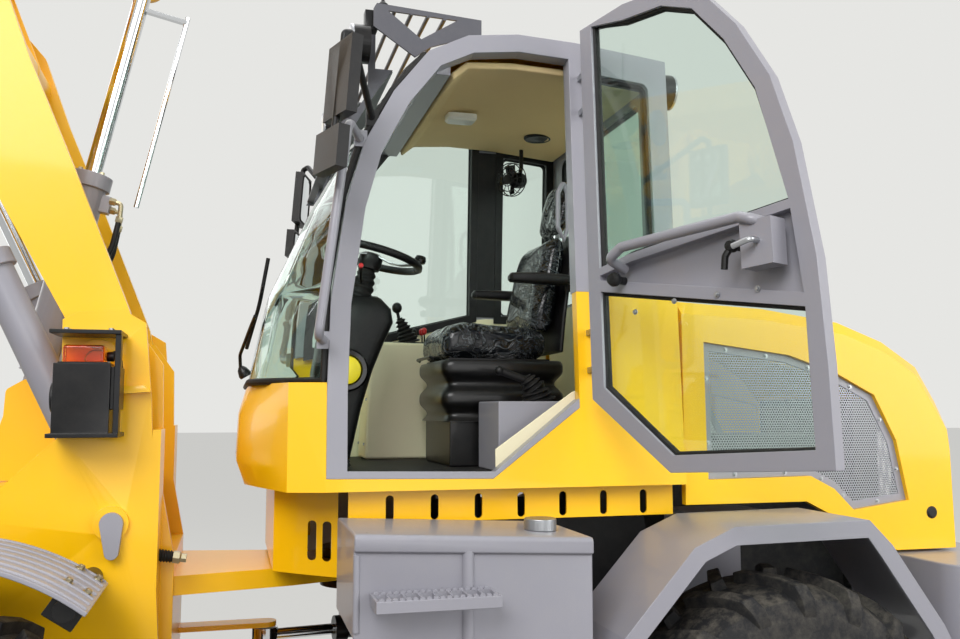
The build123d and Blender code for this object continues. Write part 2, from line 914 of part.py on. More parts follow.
# Rear fenders
inner_arch = offset_outline(fender_outline, fender_skin)
flange_arch = offset_outline(fender_outline, fender_flange)
skin = side_plate(fender_outline + inner_arch[::-1], -overall_half_width, -fender_inner_y)
flange = side_plate(fender_outline + flange_arch[::-1], -overall_half_width, -overall_half_width + fender_skin)
fender_arm = block(1040, 1330, -fender_inner_y, -rail_y - rail_thick, 1208, 1219)
fender_arm += block(1040, 1330, -rail_y - rail_thick - 14, -rail_y - rail_thick, rail_top - 60, 1219)
save("rear_fenders", both(skin + flange + fender_arm))

# Hood
hood_solid = side_plate(hood_outline, -hood_half_width, hood_half_width)
top_edges = hood_solid.edges().filter_by(lambda e: abs(abs(e.center().Y) - hood_half_width) < 1)
top_edges = top_edges.filter_by(lambda e: e.center().Z > 1600 and e.length > 60)
hood_solid = chamfer(top_edges, hood_edge_radius * 0.6)
inner_hood = [
    (hood_front - 1, 1000), (1800 + hood_wall, 1000), (2045 - hood_wall, 1000), (2039 - hood_wall, 1408),
    (2020 - hood_wall, 1578), (1945 - hood_wall, 1688), (1796, 1772), (1618, 1838), (1328, 1878),
    (hood_front - 1, 1894),
]
inner_half_hood = hood_half_width - hood_wall
hood_cavity = side_plate(inner_hood, -inner_half_hood, inner_half_hood)
hood_cavity -= both(
    side_plate([(hood_front - 2, 1800), (hood_front - 2, 2000), (2060, 2000), (2060, 1560)], -620, -inner_half_hood + 30)
)
hood = hood_solid - hood_cavity
for hand in (-1, 1):
    y_from = min(hand * (hood_half_width + 2), hand * (inner_half_hood - 2))
    hood -= side_plate(grille_outline, y_from, y_from + hood_wall + 4)
rear_grille = block(1980, 2060, -350, 350, 1130, 1500)
hood -= rear_grille
for hand in (-1, 1):
    y_from = hand * hood_hinge_y - hood_hinge_width / 2
    ear = side_plate(
        [(hood_front + 2, 1910), (hood_hinge_x - 10, hood_hinge_z), (hood_hinge_x + 10, hood_hinge_z + 8), (1080, 1912)],
        y_from, y_from + hood_hinge_width,
    )
    ear += cross_rod((hood_hinge_x, hood_hinge_z), y_from, y_from + hood_hinge_width, hood_hinge_radius + 10)
    ear -= cross_rod((hood_hinge_x, hood_hinge_z), y_from - 1, y_from + hood_hinge_width + 1, hood_hinge_radius)
    hood += ear
save("hood_shell", hood)
grille_y = hood_half_width - hood_wall / 2
side_grille = side_plate(grille_outline, -grille_y, -grille_y + grille_thick)
rear_mesh = block(2008, 2008 + grille_thick, -350, 350, 1130, 1500)
save("hood_grilles", group(both(side_grille), rear_mesh))

# Hood hinge lugs on the cab's rear wall
lugs = []
for hand in (-1, 1):
    pin_half = hood_hinge_width / 2 + 20
    middle = hand * hood_hinge_y
    pin = cross_rod(
        (hood_hinge_x, hood_hinge_z), middle - pin_half, middle + pin_half, hood_hinge_radius - pin_fit
    )
    for side in (-1, 1):
        y_mid = middle + side * (hood_hinge_width / 2 + 10)
        pin += block(cab_rear, hood_hinge_x, y_mid - 6, y_mid + 6, hood_hinge_z - 12, hood_hinge_z + 12)
        pin += cross_rod((hood_hinge_x, hood_hinge_z), y_mid - 6, y_mid + 6, hood_hinge_radius + 6)
    lugs.append(pin)
save("hood_hinges", group(*lugs))

# Door, drawn closed in the plane of the cab side and swung open about its hinge line
door_outline = [(x + 4, z) for x, z in side_outline[1:-2]]
door_outer = [(a_foot_x + 4, sill_z - 16)] + door_outline
door_outer += [(b_pillar_x - 4, side_outline[-2][1] - 2)]
door_outer += [(b_pillar_x - 4, sill_rise_z - 10), (sill_corner_x + 4, sill_z - 18)]
door_y = -door_gap - door_thick
door_ring = side_plate(door_outer, door_y, -door_gap)
door_line = offset_outline([door_outer[-1]] + door_outer + [door_outer[0]], door_band)[1:-1]
inner_top = door_line[-3][1]
hinge_edge = b_pillar_x - 4 - door_band
latch_edge = door_line[1][0]
upper_hole = [(hinge_edge, door_panel_hinge_z - 20), (hinge_edge - 130, door_panel_hinge_z)]
upper_hole += [(latch_edge + 26, door_panel_latch_z)]
upper_hole += [(x, z) for x, z in door_line[4:-3]]
upper_hole += [(hinge_edge, inner_top)]
lower_hole = [
    (hinge_edge, door_rail_hinge_z - door_rail_band),
    (latch_edge, door_rail_latch_z - door_rail_band),
    (latch_edge, sill_z + 34),
    (sill_corner_x - 10, sill_z + 30),
    (hinge_edge, sill_rise_z + 22),
]
panel_hole = [
    (hinge_edge + 0, door_rail_hinge_z),
    (hinge_edge, door_panel_hinge_z - 46),
    (hinge_edge - 130, door_panel_hinge_z - 26),
    (latch_edge + 22, door_panel_latch_z - 26),
    (latch_edge, door_rail_latch_z),
]
door_ring -= side_plate(upper_hole, door_y - 1, -door_gap + 1)
door_ring -= side_plate(lower_hole, door_y - 1, -door_gap + 1)
door_ring -= side_plate(panel_hole, door_y + 8, -door_gap + 1)
hinge_knuckles = []
for z in (1700, 2560):
    knuckle = upright(door_hinge_x, -door_hinge_out, z, z + door_hinge_height, door_hinge_radius)
    knuckle -= upright(door_hinge_x, -door_hinge_out, z - 1, z + door_hinge_height + 1, door_hinge_radius - 7)
    leaf = block(b_pillar_x - 34, door_hinge_x, -door_hinge_out - 5, -door_hinge_out + 8, z, z + door_hinge_height)
    leaf -= upright(door_hinge_x, -door_hinge_out, z - 1, z + door_hinge_height + 1, door_hinge_radius - 3)
    hinge_knuckles.append(knuckle + leaf)
door_frame = door_ring
for knuckle in hinge_knuckles:
    door_frame += knuckle
hinge_line = Axis((door_hinge_x, -door_hinge_out, 0), (0, 0, 1))


def door_place(shape):
    """Swings a shape drawn on the closed door to its open place."""
    return cab_side(shape.rotate(hinge_line, door_open))


save("door_frame", door_place(door_frame))
glass_y = door_y + 10
door_upper_pane = side_plate(upper_hole, glass_y, glass_y + glass_thick)
door_lower_pane = side_plate(lower_hole, glass_y, glass_y + glass_thick)
save("door_glass", group(door_place(door_upper_pane), door_place(door_lower_pane)))
tube_y = -door_gap + door_tube_reach
door_bar = tube(
    [
        (492, -door_gap - 6, 1965), (492, tube_y, 1990), (440, tube_y, 2016),
        (20, tube_y, 2012), (-22, tube_y, 1996), (-30, -door_gap - 6, 1990),
    ],
    door_tube_radius, 22,
)
latch = block(-72, -72 + latch_length, -door_gap, -door_gap + latch_depth, 1876, 1876 + latch_height)
door_bar -= latch
save("door_handle", group(door_place(door_bar - door_ring), door_place(latch)))

# Door hinge pins on the cab's rear door post
pins = []
for z in (1700, 2560):
    pin = upright(door_hinge_x, -door_hinge_out, z - 30, z + door_hinge_height + 30, door_hinge_radius - 7 - pin_fit)
    for z_lug in (z - 24, z + door_hinge_height + 6):
        pin += upright(door_hinge_x, -door_hinge_out, z_lug, z_lug + 18, door_hinge_radius)
        pin += block(b_pillar_x + 4, door_hinge_x + 12, -door_hinge_out, 0, z_lug, z_lug + 18)
    pins.append(cab_side(pin))
save("door_hinges", group(*pins))

# Handrails and mirrors on lugs welded to the front posts
def post_front_at(z):
    """Front edge of the front post at a height."""
    for (x_low, z_low), (x_high, z_high) in zip(side_outline, side_outline[1:]):
        if z_low <= z <= z_high:
            return x_low + (x_high - x_low) * (z - z_low) / (z_high - z_low)
    return side_outline[0][0]


def post_lug(z):
    """Lug on the left front post at a height, ahead of the door's edge."""
    front = post_front_at(z)
    outer = cab_half_at(z)
    return block(front - foot_reach, front + foot_sink, -outer, -outer + foot_thick, z - foot_tall / 2, z + foot_tall / 2)


def post_foot(z):
    """Point where a tube meets the lug at a height."""
    return (post_front_at(z) - foot_reach / 2, -cab_half_at(z) + foot_sink, z)


handrail = tube(
    [
        post_foot(handrail_top_z),
        (-126, -handrail_y, handrail_top_z + 4),
        (-204, -handrail_y, handrail_low_z + 4),
        post_foot(handrail_low_z),
    ],
    rail_radius, 30,
)
handrail += post_lug(handrail_top_z)
handrail += post_lug(handrail_low_z)
save("handrails", group(both(handrail) - cab_frame - shell - screen))

mirror_arm = tube(
    [
        post_foot(mirror_foot_z),
        (mirror_x + 20, -mirror_y + 20, 2650),
        (mirror_x, -mirror_y, 2640),
        (mirror_x - 30, -mirror_y, 2290),
    ],
    mirror_arm_radius, 12,
)
mirror_arm += post_lug(mirror_foot_z)
mirror_tilt = Rot(0, 4, 18)
big_mirror = Pos(mirror_x - 4, -mirror_y, 2500) * mirror_tilt * Box(mirror_depth, mirror_width, mirror_height)
small_mirror = Pos(mirror_x - 34, -mirror_y, 2290) * mirror_tilt * Box(mirror_depth, mirror_width, 120)
mirror_arms = both(mirror_arm) - cab_frame - shell - screen
save("mirrors", group(mirror_arms + both(big_mirror) + both(small_mirror)))

# Roof guard over the upper screen
guard_side = side_plate(
    [(guard_front, 2850), (guard_front + 10, guard_top), (guard_rear, guard_top - 20), (guard_rear, 2776),
     (250, 2770), (160, 2738), (110, 2700), (guard_front, 2790)],
    -guard_half_width, -guard_half_width + guard_plate,
)
guard_side -= side_plate([(20, 2846), (250, 2838), (130, 2762)], -guard_half_width - 1, -guard_half_width + 20)
roof_guard = guard_side + mirror(guard_side, about=Plane.XZ)
for index in range(guard_bars):
    share = index / (guard_bars - 1)
    x = guard_front + 14 + (guard_rear - guard_front - 28) * share
    z = guard_top - 14 - 20 * share
    roof_guard += cross_rod((x, z), -guard_half_width + 1, guard_half_width - 1, guard_bar_radius)


def slat_front(z):
    """Front edge of the slats at a height, ahead of the upper windscreen."""
    rows = [(z_row, x_row) for z_row, x_row, _, _ in screen_sections]
    for (z_low, x_low), (z_high, x_high) in zip(rows, rows[1:]):
        if z_low <= z <= z_high:
            return x_low + (x_high - x_low) * (z - z_low) / (z_high - z_low) - slat_lift - slat_depth
    return rows[0][1]


guard_bar_x = guard_front + 14
guard_bar_z = guard_top - 14
slat_joint_z = 2620
carrier = [
    (slat_front(slat_low_z) - 4, slat_low_z - 12),
    (slat_front(slat_low_z) + slat_depth, slat_low_z - 12),
    (slat_front(slat_joint_z) + slat_depth, slat_joint_z),
    (slat_front(slat_high_z) + slat_depth, slat_high_z + 8),
    (guard_bar_x + 12, slat_high_z + 8),
    (guard_bar_x + 12, guard_bar_z),
    (guard_bar_x - 12, guard_bar_z),
    (guard_bar_x - 12, slat_high_z - 60),
    (slat_front(slat_joint_z) - 4, slat_joint_z - 10),
]
for hand in (-1, 1):
    y_from = hand * slat_half - guard_plate / 2
    roof_guard += side_plate(carrier, y_from, y_from + guard_plate)
for index in range(guard_slats):
    z = slat_low_z + (slat_high_z - slat_low_z) * index / (guard_slats - 1)
    x = slat_front(z)
    roof_guard += block(x, x + slat_depth, -slat_half, slat_half, z, z + slat_thick)
roof_guard -= cab_frame
roof_guard -= roof
save("roof_guard", roof_guard)

# Work lamps on the roof and tail lamps on the counterweight
front_lamp = Pos(-62, -470, 2745) * Rot(0, 90, 0) * Cylinder(lamp_radius, lamp_depth)
front_lamp += block(-50, guard_front + 18, -490, -450, 2790, 2856)
front_lamp -= roof_guard
rear_lamp = Pos(cab_rear + 40, -440, 2690) * Rot(0, 90, 0) * Cylinder(lamp_radius, lamp_depth)
rear_lamp += block(cab_rear, cab_rear + 40, -455, -425, 2680, 2760)
tail_lamp = block(weight_rear, weight_rear + 26, -760, -560, 900, 990)
save("work_lamps", both(group(front_lamp, rear_lamp, tail_lamp)))

# Seat
floor_z = cab_bottom + cab_floor_thick
seat_base = block(seat_x - 200, seat_x + 220, -seat_width / 2 + 30, seat_width / 2 - 30, floor_z, seat_box_top)
folds = 4
fold_height = (bellows_top - seat_box_top) / folds
for index in range(folds):
    z = seat_box_top + index * fold_height
    inset = 0 if index % 2 else 26
    seat_base += block(
        seat_x - 230 + inset, seat_x + 230 - inset, -seat_width / 2 + 10 + inset, seat_width / 2 - 10 - inset,
        z, z + fold_height,
    )
save("seat_base", seat_base)
cushion = block(seat_front, seat_x + 190, -seat_width / 2, seat_width / 2, bellows_top, cushion_top)
cushion = fillet(cushion.edges().filter_by(Axis.Y).group_by(Axis.Z)[-1], 40)
back_points = [
    (seat_x + 110, cushion_top - 60), (seat_x + 200, 2200), (seat_x + 262, back_top),
    (seat_x + 345, back_top - 10), (seat_x + 300, 2200), (seat_x + 250, bellows_top), (seat_x + 191, bellows_top),
    (seat_x + 191, cushion_top - 60),
]
seat_back = side_plate(back_points, -seat_width / 2 + 20, seat_width / 2 - 20)
seat_back -= both(block(seat_x + 150, seat_x + 400, -seat_width, -140, 2210, back_top + 10))
armrest = block(seat_x, seat_x + 250, -seat_width / 2 - 60, -seat_width / 2 + 24, 2000, 2050)
save("seat_cushions", cushion + seat_back + both(armrest))

# Consoles: the right-hand console and the grey box beside the seat
console_points = [
    (console_front, floor_z), (console_front + 20, console_top), (console_front + 300, console_top - 6),
    (console_front + 340, 1700), (console_rear, 1690), (console_rear, floor_z),
]
console_side = cab_half_at(console_top) - cab_frame_depth - side_gap
console = side_plate(console_points, console_y, console_side)
left_box_points = [
    (box_left_front, floor_z), (box_left_front, box_left_top), (box_left_rear, box_left_top),
    (box_left_rear, floor_z),
]
left_box = side_plate(left_box_points, -box_left_y, -seat_width / 2 - 8)
boot = Pos(300, console_y + 110, console_top + 30) * Cone(42, 18, 90)
knob = Pos(300, console_y + 110, console_top + 92) * Sphere(24)
left_boot = Pos(460, -seat_width / 2 - 100, box_left_top + 45) * Cone(60, 22, 90)
left_stick = upright(460, -seat_width / 2 - 100, box_left_top + 88, box_left_top + 200, 10)
save("cab_consoles", group(console + boot + knob, left_box + left_boot + left_stick))

# Steering column and wheel
column_foot = (column_x - 70, 0, floor_z)
column_head = (wheel_x - 13, 0, wheel_z - 52)
column = rod_between(column_foot, column_head, 46)
column += side_plate(
    [(-170, floor_z), (-150, 1750), (-60, 1960), (90, 1960), (130, 1880), (60, 1700), (-20, floor_z)], -90, 90
)
ring = Pos(wheel_x, 0, wheel_z) * Rot(0, -wheel_tilt, 0)
column += ring * Torus(wheel_ring_radius, wheel_ring_tube)
column += ring * Pos(0, 0, -20) * Cylinder(44, 70)
for angle in (90, 210, 330):
    column += ring * Rot(0, 0, angle) * Pos(wheel_ring_radius / 2, 0, 0) * Box(wheel_ring_radius - 4, 26, 8)
column -= cab_floor
save("steering_column", column)

# Front frame with the tower
outer_plate_points = [
    (-926, 1825), (-880, 1850), (-757, 1857), (-693, 1819), (-671, 1589), (-645, 1100), (-620, front_seat_z),
    (-1380, front_seat_z), (-1420, 860), (-1160, 1250), (-1077, 1330), (-918, 1486),
]
inner_plate_points = [
    (-926, 1810), (-860, 1830), (-720, 1800), (-650, 1701), (-640, 1300), (-600, 1100), (-600, front_seat_z),
    (-1380, front_seat_z), (-1420, 860), (-1160, 1250), (-1077, 1330), (-918, 1486),
]
front_frame = None
for hand in (-1, 1):
    outer_from = min(hand * tower_y, hand * (tower_y + tower_plate))
    inner_from = min(hand * tower_inner_y, hand * (tower_inner_y + tower_plate))
    outer_plate = side_plate(outer_plate_points, outer_from, outer_from + tower_plate)
    inner_plate = side_plate(inner_plate_points, inner_from, inner_from + tower_plate)
    slot_from = min(hand * tower_inner_y, hand * (tower_y + tower_plate))
    slot_span = tower_y + tower_plate - tower_inner_y
    floor = block(-1380, -620, slot_from, slot_from + slot_span, front_seat_z, front_seat_z + 40)
    shelf = side_plate([(-1300, 980), (-1225, 1080), (-640, 1080), (-640, 1050), (-1240, 1050)], slot_from, slot_from + slot_span)
    back = block(-665, -640, slot_from, slot_from + slot_span, front_seat_z, 1500)
    flange_from = min(hand * tower_y, hand * (tower_y + tower_plate + 40))
    flange = side_plate([(-918, 1594), (-918, 1614), (-690, 1632), (-671, 1612)], flange_from, flange_from + tower_plate + 40)
    piece = outer_plate + inner_plate + floor + shelf + back + flange
    boss_from = min(hand * (tower_y + tower_plate), hand * (tower_y + tower_plate + 14))
    for place, radius in ((boom_pivot, boom_pin_radius + 26), (lift_base, cylinder_pin_radius + 22)):
        piece += cross_rod(place, boss_from, boss_from + 14, radius)
        piece += cross_rod(place, slot_from, slot_from + slot_span, radius=cylinder_pin_radius)
    piece += cross_rod(boom_pivot, slot_from, slot_from + slot_span, boom_pin_radius)
    front_frame = piece if front_frame is None else front_frame + piece
inner_span = tower_inner_y
front_frame += side_plate([(-1420, 860), (-1160, 1250), (-1077, 1330), (-1055, 1310), (-1140, 1235), (-1396, 850)], -inner_span, inner_span)
front_frame += side_plate([(-1300, 1310), (-700, 1310), (-700, 1335), (-1077, 1335)], -inner_span, inner_span)
front_frame += block(-640, -600, -inner_span, inner_span, front_seat_z, 1100)
front_frame += block(-1380, -600, -inner_span, inner_span, front_seat_z, front_seat_z + 30)
lug_points = [(-1215, 1330), (-1156, 1540), (-1152, 1625), (-1092, 1662), (-1032, 1625), (-970, 1330)]
for hand in (-1, 1):
    lug_from = min(hand * (tilt_lug_y - tilt_lug_thick), hand * tilt_lug_y)
    lug_from += hand * (cylinder_eye_width / 2 + side_gap - (tilt_lug_y - tilt_lug_thick))
    front_frame += side_plate(lug_points, lug_from, lug_from + tilt_lug_thick, 20)
lug_half = cylinder_eye_width / 2 + side_gap + tilt_lug_thick
front_frame += cross_rod(tilt_base, -lug_half, lug_half, cylinder_pin_radius)
tongue_points = [
    (0, -hinge_radius), (0, hinge_radius), (tongue_root_x + 240, tongue_half_width), (-605, inner_span),
    (-605, -inner_span), (tongue_root_x + 240, -tongue_half_width),
]
for middle in (upper_tongue_z, lower_tongue_z):
    z_from = middle - tongue_thick / 2
    leaf = flat_plate(tongue_points, z_from, z_from + tongue_thick) + upright(0, 0, z_from, z_from + tongue_thick, hinge_radius)
    leaf -= upright(0, 0, z_from - 1, z_from + tongue_thick + 1, hinge_pin_radius + pin_fit)
    front_frame += leaf
front_frame += block(-640, -600, -inner_span, inner_span, lower_tongue_z - tongue_thick / 2, front_seat_z)
for hand in (-1, 1):
    eye_x, eye_y = steer_eye
    for side in (-1, 1):
        z_mid = steer_z + side * (cylinder_eye_width / 2 + side_gap + 9)
        ear = block(-602, eye_x, hand * eye_y - 40, hand * eye_y + 40, z_mid - 9, z_mid + 9)
        front_frame += ear + upright(eye_x, hand * eye_y, z_mid - 9, z_mid + 9, 40)
save("front_frame", front_frame)

# Front mudguards on their tubes
def arc_guard():
    """Curved strip about the wheel's centre, from near its top down its rear side."""
    ring_outer = Cylinder(guard_arc_radius, guard_outer_y - guard_inner_y)
    ring_inner = Cylinder(guard_arc_radius - guard_arc_thick, guard_outer_y - guard_inner_y)
    reach = guard_arc_radius * 2
    low = radians(guard_arc_from)
    high = radians(guard_arc_to)
    mid = (low + high) / 2
    wedge = [(0, 0), (reach * cos(low), reach * sin(low)), (reach * cos(mid), reach * sin(mid)),
             (reach * cos(high), reach * sin(high))]
    ring_part = Rot(90, 0, 0) * (ring_outer - ring_inner)
    sector = side_plate(wedge, -1000, 1000)
    middle_y = -(guard_outer_y + guard_inner_y) / 2
    return Pos(-axle_offset, middle_y, axle_height) * (ring_part & sector)


mudguard = arc_guard()
tube_turn = radians(guard_arc_from + 4)
tube_reach = guard_arc_radius - guard_arc_thick - guard_tube_radius
tube_place = (-axle_offset + tube_reach * cos(tube_turn), axle_height + tube_reach * sin(tube_turn))
guard_tube = cross_rod(tube_place, -guard_outer_y + 60, -(tower_y + tower_plate), guard_tube_radius)
save("front_mudguards", both(mudguard))
save("mudguard_tubes", both(guard_tube - mudguard))

# Front lamps on the tower's sides
bracket = block(-932, -744, -610, -tower_y - tower_plate, 1482, 1494)
bracket += block(-932, -744, -610, -tower_y - tower_plate, 1772, 1784)
bracket += block(-760, -744, -600, -560, 1494, 1772)
lamp_body = block(-920, -770, -600, -492, 1494, 1690)
lamp_body += block(-772, -744, -590, -492, 1560, 1680)
save("tower_lamps", both(bracket + lamp_body))

# Boom: two arms, the tube between them and the lever brackets
arm_points = [
    (-747, 1860), (-922, 2299), (-1060, 2629), (-1154, 2888), (-1250, 2999), (-1430, 3110), (-2290, 3318),
    (-2420, 3270), (-2430, 3180), (-2330, 3128), (-1760, 2900), (-1500, 2760), (-1390, 2590), (-1129, 2196),
    (-927, 1830), (-886, 1650), (-822, 1605), (-740, 1640), (-718, 1730),
]
arm_from = -slot_y - arm_thick / 2
arm = side_plate(arm_points, arm_from, arm_from + arm_thick)
arm -= cross_rod(boom_pivot, arm_from - 1, arm_from + arm_thick + 1, boom_pin_radius + pin_fit)
lift_gap = cylinder_eye_width / 2 + side_gap
lift_half = lift_gap + lift_ear_thick
lift_clear = rod_eye_radius + lift_drift
ear_block = strap(lift_head, lift_ear_root, 54, -slot_y - lift_half, -slot_y + lift_half)
arm += ear_block
arm -= cross_rod(lift_head, -slot_y - lift_gap, -slot_y + lift_gap, lift_clear)
for side in (-1, 1):
    head_from = -slot_y + side * (lift_half + 5) - 5
    arm += cross_rod(lift_head, head_from, head_from + 10, cylinder_pin_radius)
bucket_boss = cross_rod(bucket_pivot, arm_from - 12, arm_from + arm_thick + 12, 78)
arm += bucket_boss
arm -= cross_rod(bucket_pivot, arm_from - 20, arm_from + arm_thick + 20, boom_pin_radius + pin_fit)
arms = arm + mirror(arm, about=Plane.XZ)
arms += cross_rod(boom_tube_place, -slot_y, slot_y, boom_tube_radius)
for hand in (-1, 1):
    y_from = min(hand * bracket_y, hand * (bracket_y + bracket_thick))
    arms += strap(boom_tube_place, lever_pivot, 62, y_from, y_from + bracket_thick)
bracket_outer = bracket_y + bracket_thick
arms -= cross_rod(lever_pivot, -bracket_outer - 1, bracket_outer + 1, cylinder_pin_radius + pin_fit)
save("boom_arms", arms)


# Cylinders: a barrel with its eye and gland, and a rod with its eye
def barrel_solid(length, barrel_radius, rod_radius):
    """Barrel standing along Z from its eye at the origin, bored for its rod."""
    start = cylinder_eye_radius + cylinder_neck
    body = Pos(0, 0, (length + start) / 2) * Cylinder(barrel_radius, length - start)
    neck = start - cylinder_neck_from
    body += Pos(0, 0, start - neck / 2) * Box(cylinder_eye_width, cylinder_eye_width, neck)
    body += Pos(0, 0, length - gland_length / 2) * Cylinder(barrel_radius + gland_extra, gland_length)
    eye = Rot(90, 0, 0) * Cylinder(cylinder_eye_radius, cylinder_eye_width)
    body += eye
    body -= Rot(90, 0, 0) * Cylinder(cylinder_pin_radius + pin_fit, cylinder_eye_width + 2)
    bore = length - start - 20
    body -= Pos(0, 0, length - bore / 2 + 0.5) * Cylinder(rod_radius + slide_fit, bore + 1)
    return body


def rod_solid(length, tail, rod_radius):
    """Rod standing along Z, with its eye at the given length and its tail at another."""
    reach = length - rod_eye_radius / 2
    body = Pos(0, 0, (reach + tail) / 2) * Cylinder(rod_radius, reach - tail)
    return body + Pos(0, 0, length) * Rot(90, 0, 0) * Cylinder(rod_eye_radius, cylinder_eye_width)


def aim(place, other, y):
    """Location that stands a cylinder on one pin and leans it at the other."""
    lean = degrees(atan((other[0] - place[0]) / (other[1] - place[1])))
    return Pos(place[0], y, place[1]) * Rot(0, lean, 0)


lift_run = span(lift_base, lift_head)
lift_barrel = barrel_solid(lift_barrel_length, lift_barrel_radius, lift_rod_radius)
lift_rod_tail = 740
lift_rod = rod_solid(lift_run, lift_rod_tail, lift_rod_radius)
lift_places = [aim(lift_base, lift_head, hand * slot_y) for hand in (-1, 1)]
save("lift_barrels", group(*[place * lift_barrel for place in lift_places]))
save("lift_rods", group(*[place * lift_rod for place in lift_places]))

# Tilt cylinder up the middle, with the level rod beside it
tilt_lean = degrees(atan(tilt_side / (1 - tilt_side ** 2) ** 0.5))
tilt_eye = (
    tilt_base[0] + tilt_length * sin(radians(tilt_lean)),
    tilt_base[1] + tilt_length * cos(radians(tilt_lean)),
)
tilt_barrel = barrel_solid(tilt_barrel_length, tilt_barrel_radius, tilt_rod_radius)
tilt_rod_tail = 640
tilt_rod = rod_solid(tilt_length, tilt_rod_tail, tilt_rod_radius)
tilt_place = aim(tilt_base, tilt_eye, 0)
indicator_middle = tilt_length - 90 - indicator_length / 2
indicator = Pos(indicator_offset, 0, indicator_middle) * Cylinder(indicator_radius, indicator_length)
clip = Pos(indicator_offset / 2, 0, tilt_length - 110) * Box(indicator_offset, 24, 14)
save("tilt_barrel", tilt_place * tilt_barrel)
save("tilt_rod", tilt_place * (tilt_rod + indicator + clip))

# Tilt lever, its pins and the link to the bucket
eye_gap = cylinder_eye_width / 2 + side_gap


def capped_pin(place, inside, radius, cap):
    """Pin with a round keeper cap at each end, outside what it passes through."""
    pin = cross_rod(place, -inside - cap_gap - cap, inside + cap_gap + cap, cylinder_pin_radius)
    pin += cross_rod(place, inside + cap_gap, inside + cap_gap + cap, radius)
    return pin + cross_rod(place, -inside - cap_gap - cap, -inside - cap_gap, radius)


lever_shaft = capped_pin(lever_pivot, bracket_outer, lever_cap_radius, lever_cap)
save("lever_shaft", lever_shaft)
levers = None
for hand in (-1, 1):
    y_from = min(hand * eye_gap, hand * (eye_gap + lever_half))
    plate = strap(lever_pivot, tilt_eye, 58, y_from, y_from + lever_half)
    plate += strap(lever_pivot, lever_low, 54, y_from, y_from + lever_half)
    levers = plate if levers is None else levers + plate
hub_half = eye_gap + lever_half
levers += cross_rod(lever_pivot, -hub_half, hub_half, 56)
levers -= cross_rod(lever_pivot, -hub_half - 1, hub_half + 1, cylinder_pin_radius + pin_fit)
levers -= cross_rod(lever_low, -hub_half - 1, hub_half + 1, cylinder_pin_radius + pin_fit)
for hand in (-1, 1):
    y_from = min(hand * (eye_gap + lever_half), hand * (eye_gap + lever_half + 10))
    levers += cross_rod(tilt_eye, y_from, y_from + 10, cylinder_pin_radius + 8)
save("tilt_lever", levers)
link_shaft = capped_pin(lever_low, hub_half, link_cap_radius, link_cap)
save("link_shaft", link_shaft)
link_half = eye_gap - side_gap
link = strap(lever_low, link_end, link_eye, -link_web / 2, link_web / 2)
for place in (lever_low, link_end):
    link += cross_rod(place, -link_half, link_half, link_eye)
link -= cross_rod(lever_low, -link_half - 1, link_half + 1, cylinder_pin_radius + pin_fit)
link -= cross_rod(link_end, -link_half - 1, link_half + 1, cylinder_pin_radius + pin_fit)
save("tilt_link", link)

# Bucket and its pins
shaft_half = slot_y + arm_thick / 2 + 12 + side_gap + bucket_ear_thick
hub_outer = slot_y - arm_thick / 2 - 12 - side_gap - bucket_ear_thick - bucket_hub_gap
hub_inner = hub_outer - bucket_hub_width
bucket_pin = cross_rod(bucket_pivot, -shaft_half, -hub_inner, boom_pin_radius)
bucket_pin += cross_rod(bucket_pivot, -hub_outer, -hub_inner, bucket_hub_radius)
save("bucket_shafts", both(bucket_pin))
qx, qz = bucket_pivot
back_x = qx - 150
floor_low = qz - 210
bucket_outer = [
    (back_x, qz + 420), (back_x, qz + 20), (back_x - 60, qz - 130), (back_x - 190, floor_low),
    (back_x - bucket_lip, floor_low), (back_x - 120, qz + 640),
]
bucket_shell = side_plate(bucket_outer, -bucket_half_width, bucket_half_width)
bucket_inner = [
    (back_x - bucket_wall, qz + 410), (back_x - bucket_wall, qz + 24), (back_x - 60 - bucket_wall, qz - 120),
    (back_x - 196, floor_low + bucket_wall), (back_x - bucket_lip - 40, floor_low + bucket_wall),
    (back_x - 160, qz + 720), (back_x - 136, qz + 640),
]
cheek = bucket_half_width - 20
bucket = bucket_shell - side_plate(bucket_inner, -cheek, cheek)
bucket += side_plate(
    [(back_x - bucket_lip, floor_low), (back_x - bucket_lip - 70, floor_low + 4), (back_x - bucket_lip - 70, floor_low + 12),
     (back_x - bucket_lip, floor_low + 26), (back_x - bucket_lip + 60, floor_low + 26), (back_x - bucket_lip + 60, floor_low)],
    -bucket_half_width, bucket_half_width,
)
ear_points = [(back_x - 40, qz - 100), (qx + 20, qz - 78), (qx + 78, qz), (qx + 20, qz + 78), (back_x - 6, qz + 180)]
for hand in (-1, 1):
    for side in (-1, 1):
        gap = arm_thick / 2 + 12 + side_gap
        middle = hand * slot_y
        y_from = middle + gap if side > 0 else middle - gap - bucket_ear_thick
        bucket += side_plate(ear_points, y_from, y_from + bucket_ear_thick)
bucket -= cross_rod(bucket_pivot, -shaft_half - 1, shaft_half + 1, boom_pin_radius + pin_fit)
link_ear = [(back_x - 6, qz + 60), (link_end[0] + 40, link_end[1] - 60), (link_end[0] + 62, link_end[1]),
            (link_end[0], link_end[1] + 60), (back_x - 6, link_end[1] + 120)]
link_gap = link_half + side_gap
for hand in (-1, 1):
    y_from = min(hand * link_gap, hand * (link_gap + bucket_ear_thick))
    bucket += side_plate(link_ear, y_from, y_from + bucket_ear_thick)
save("bucket", bucket)

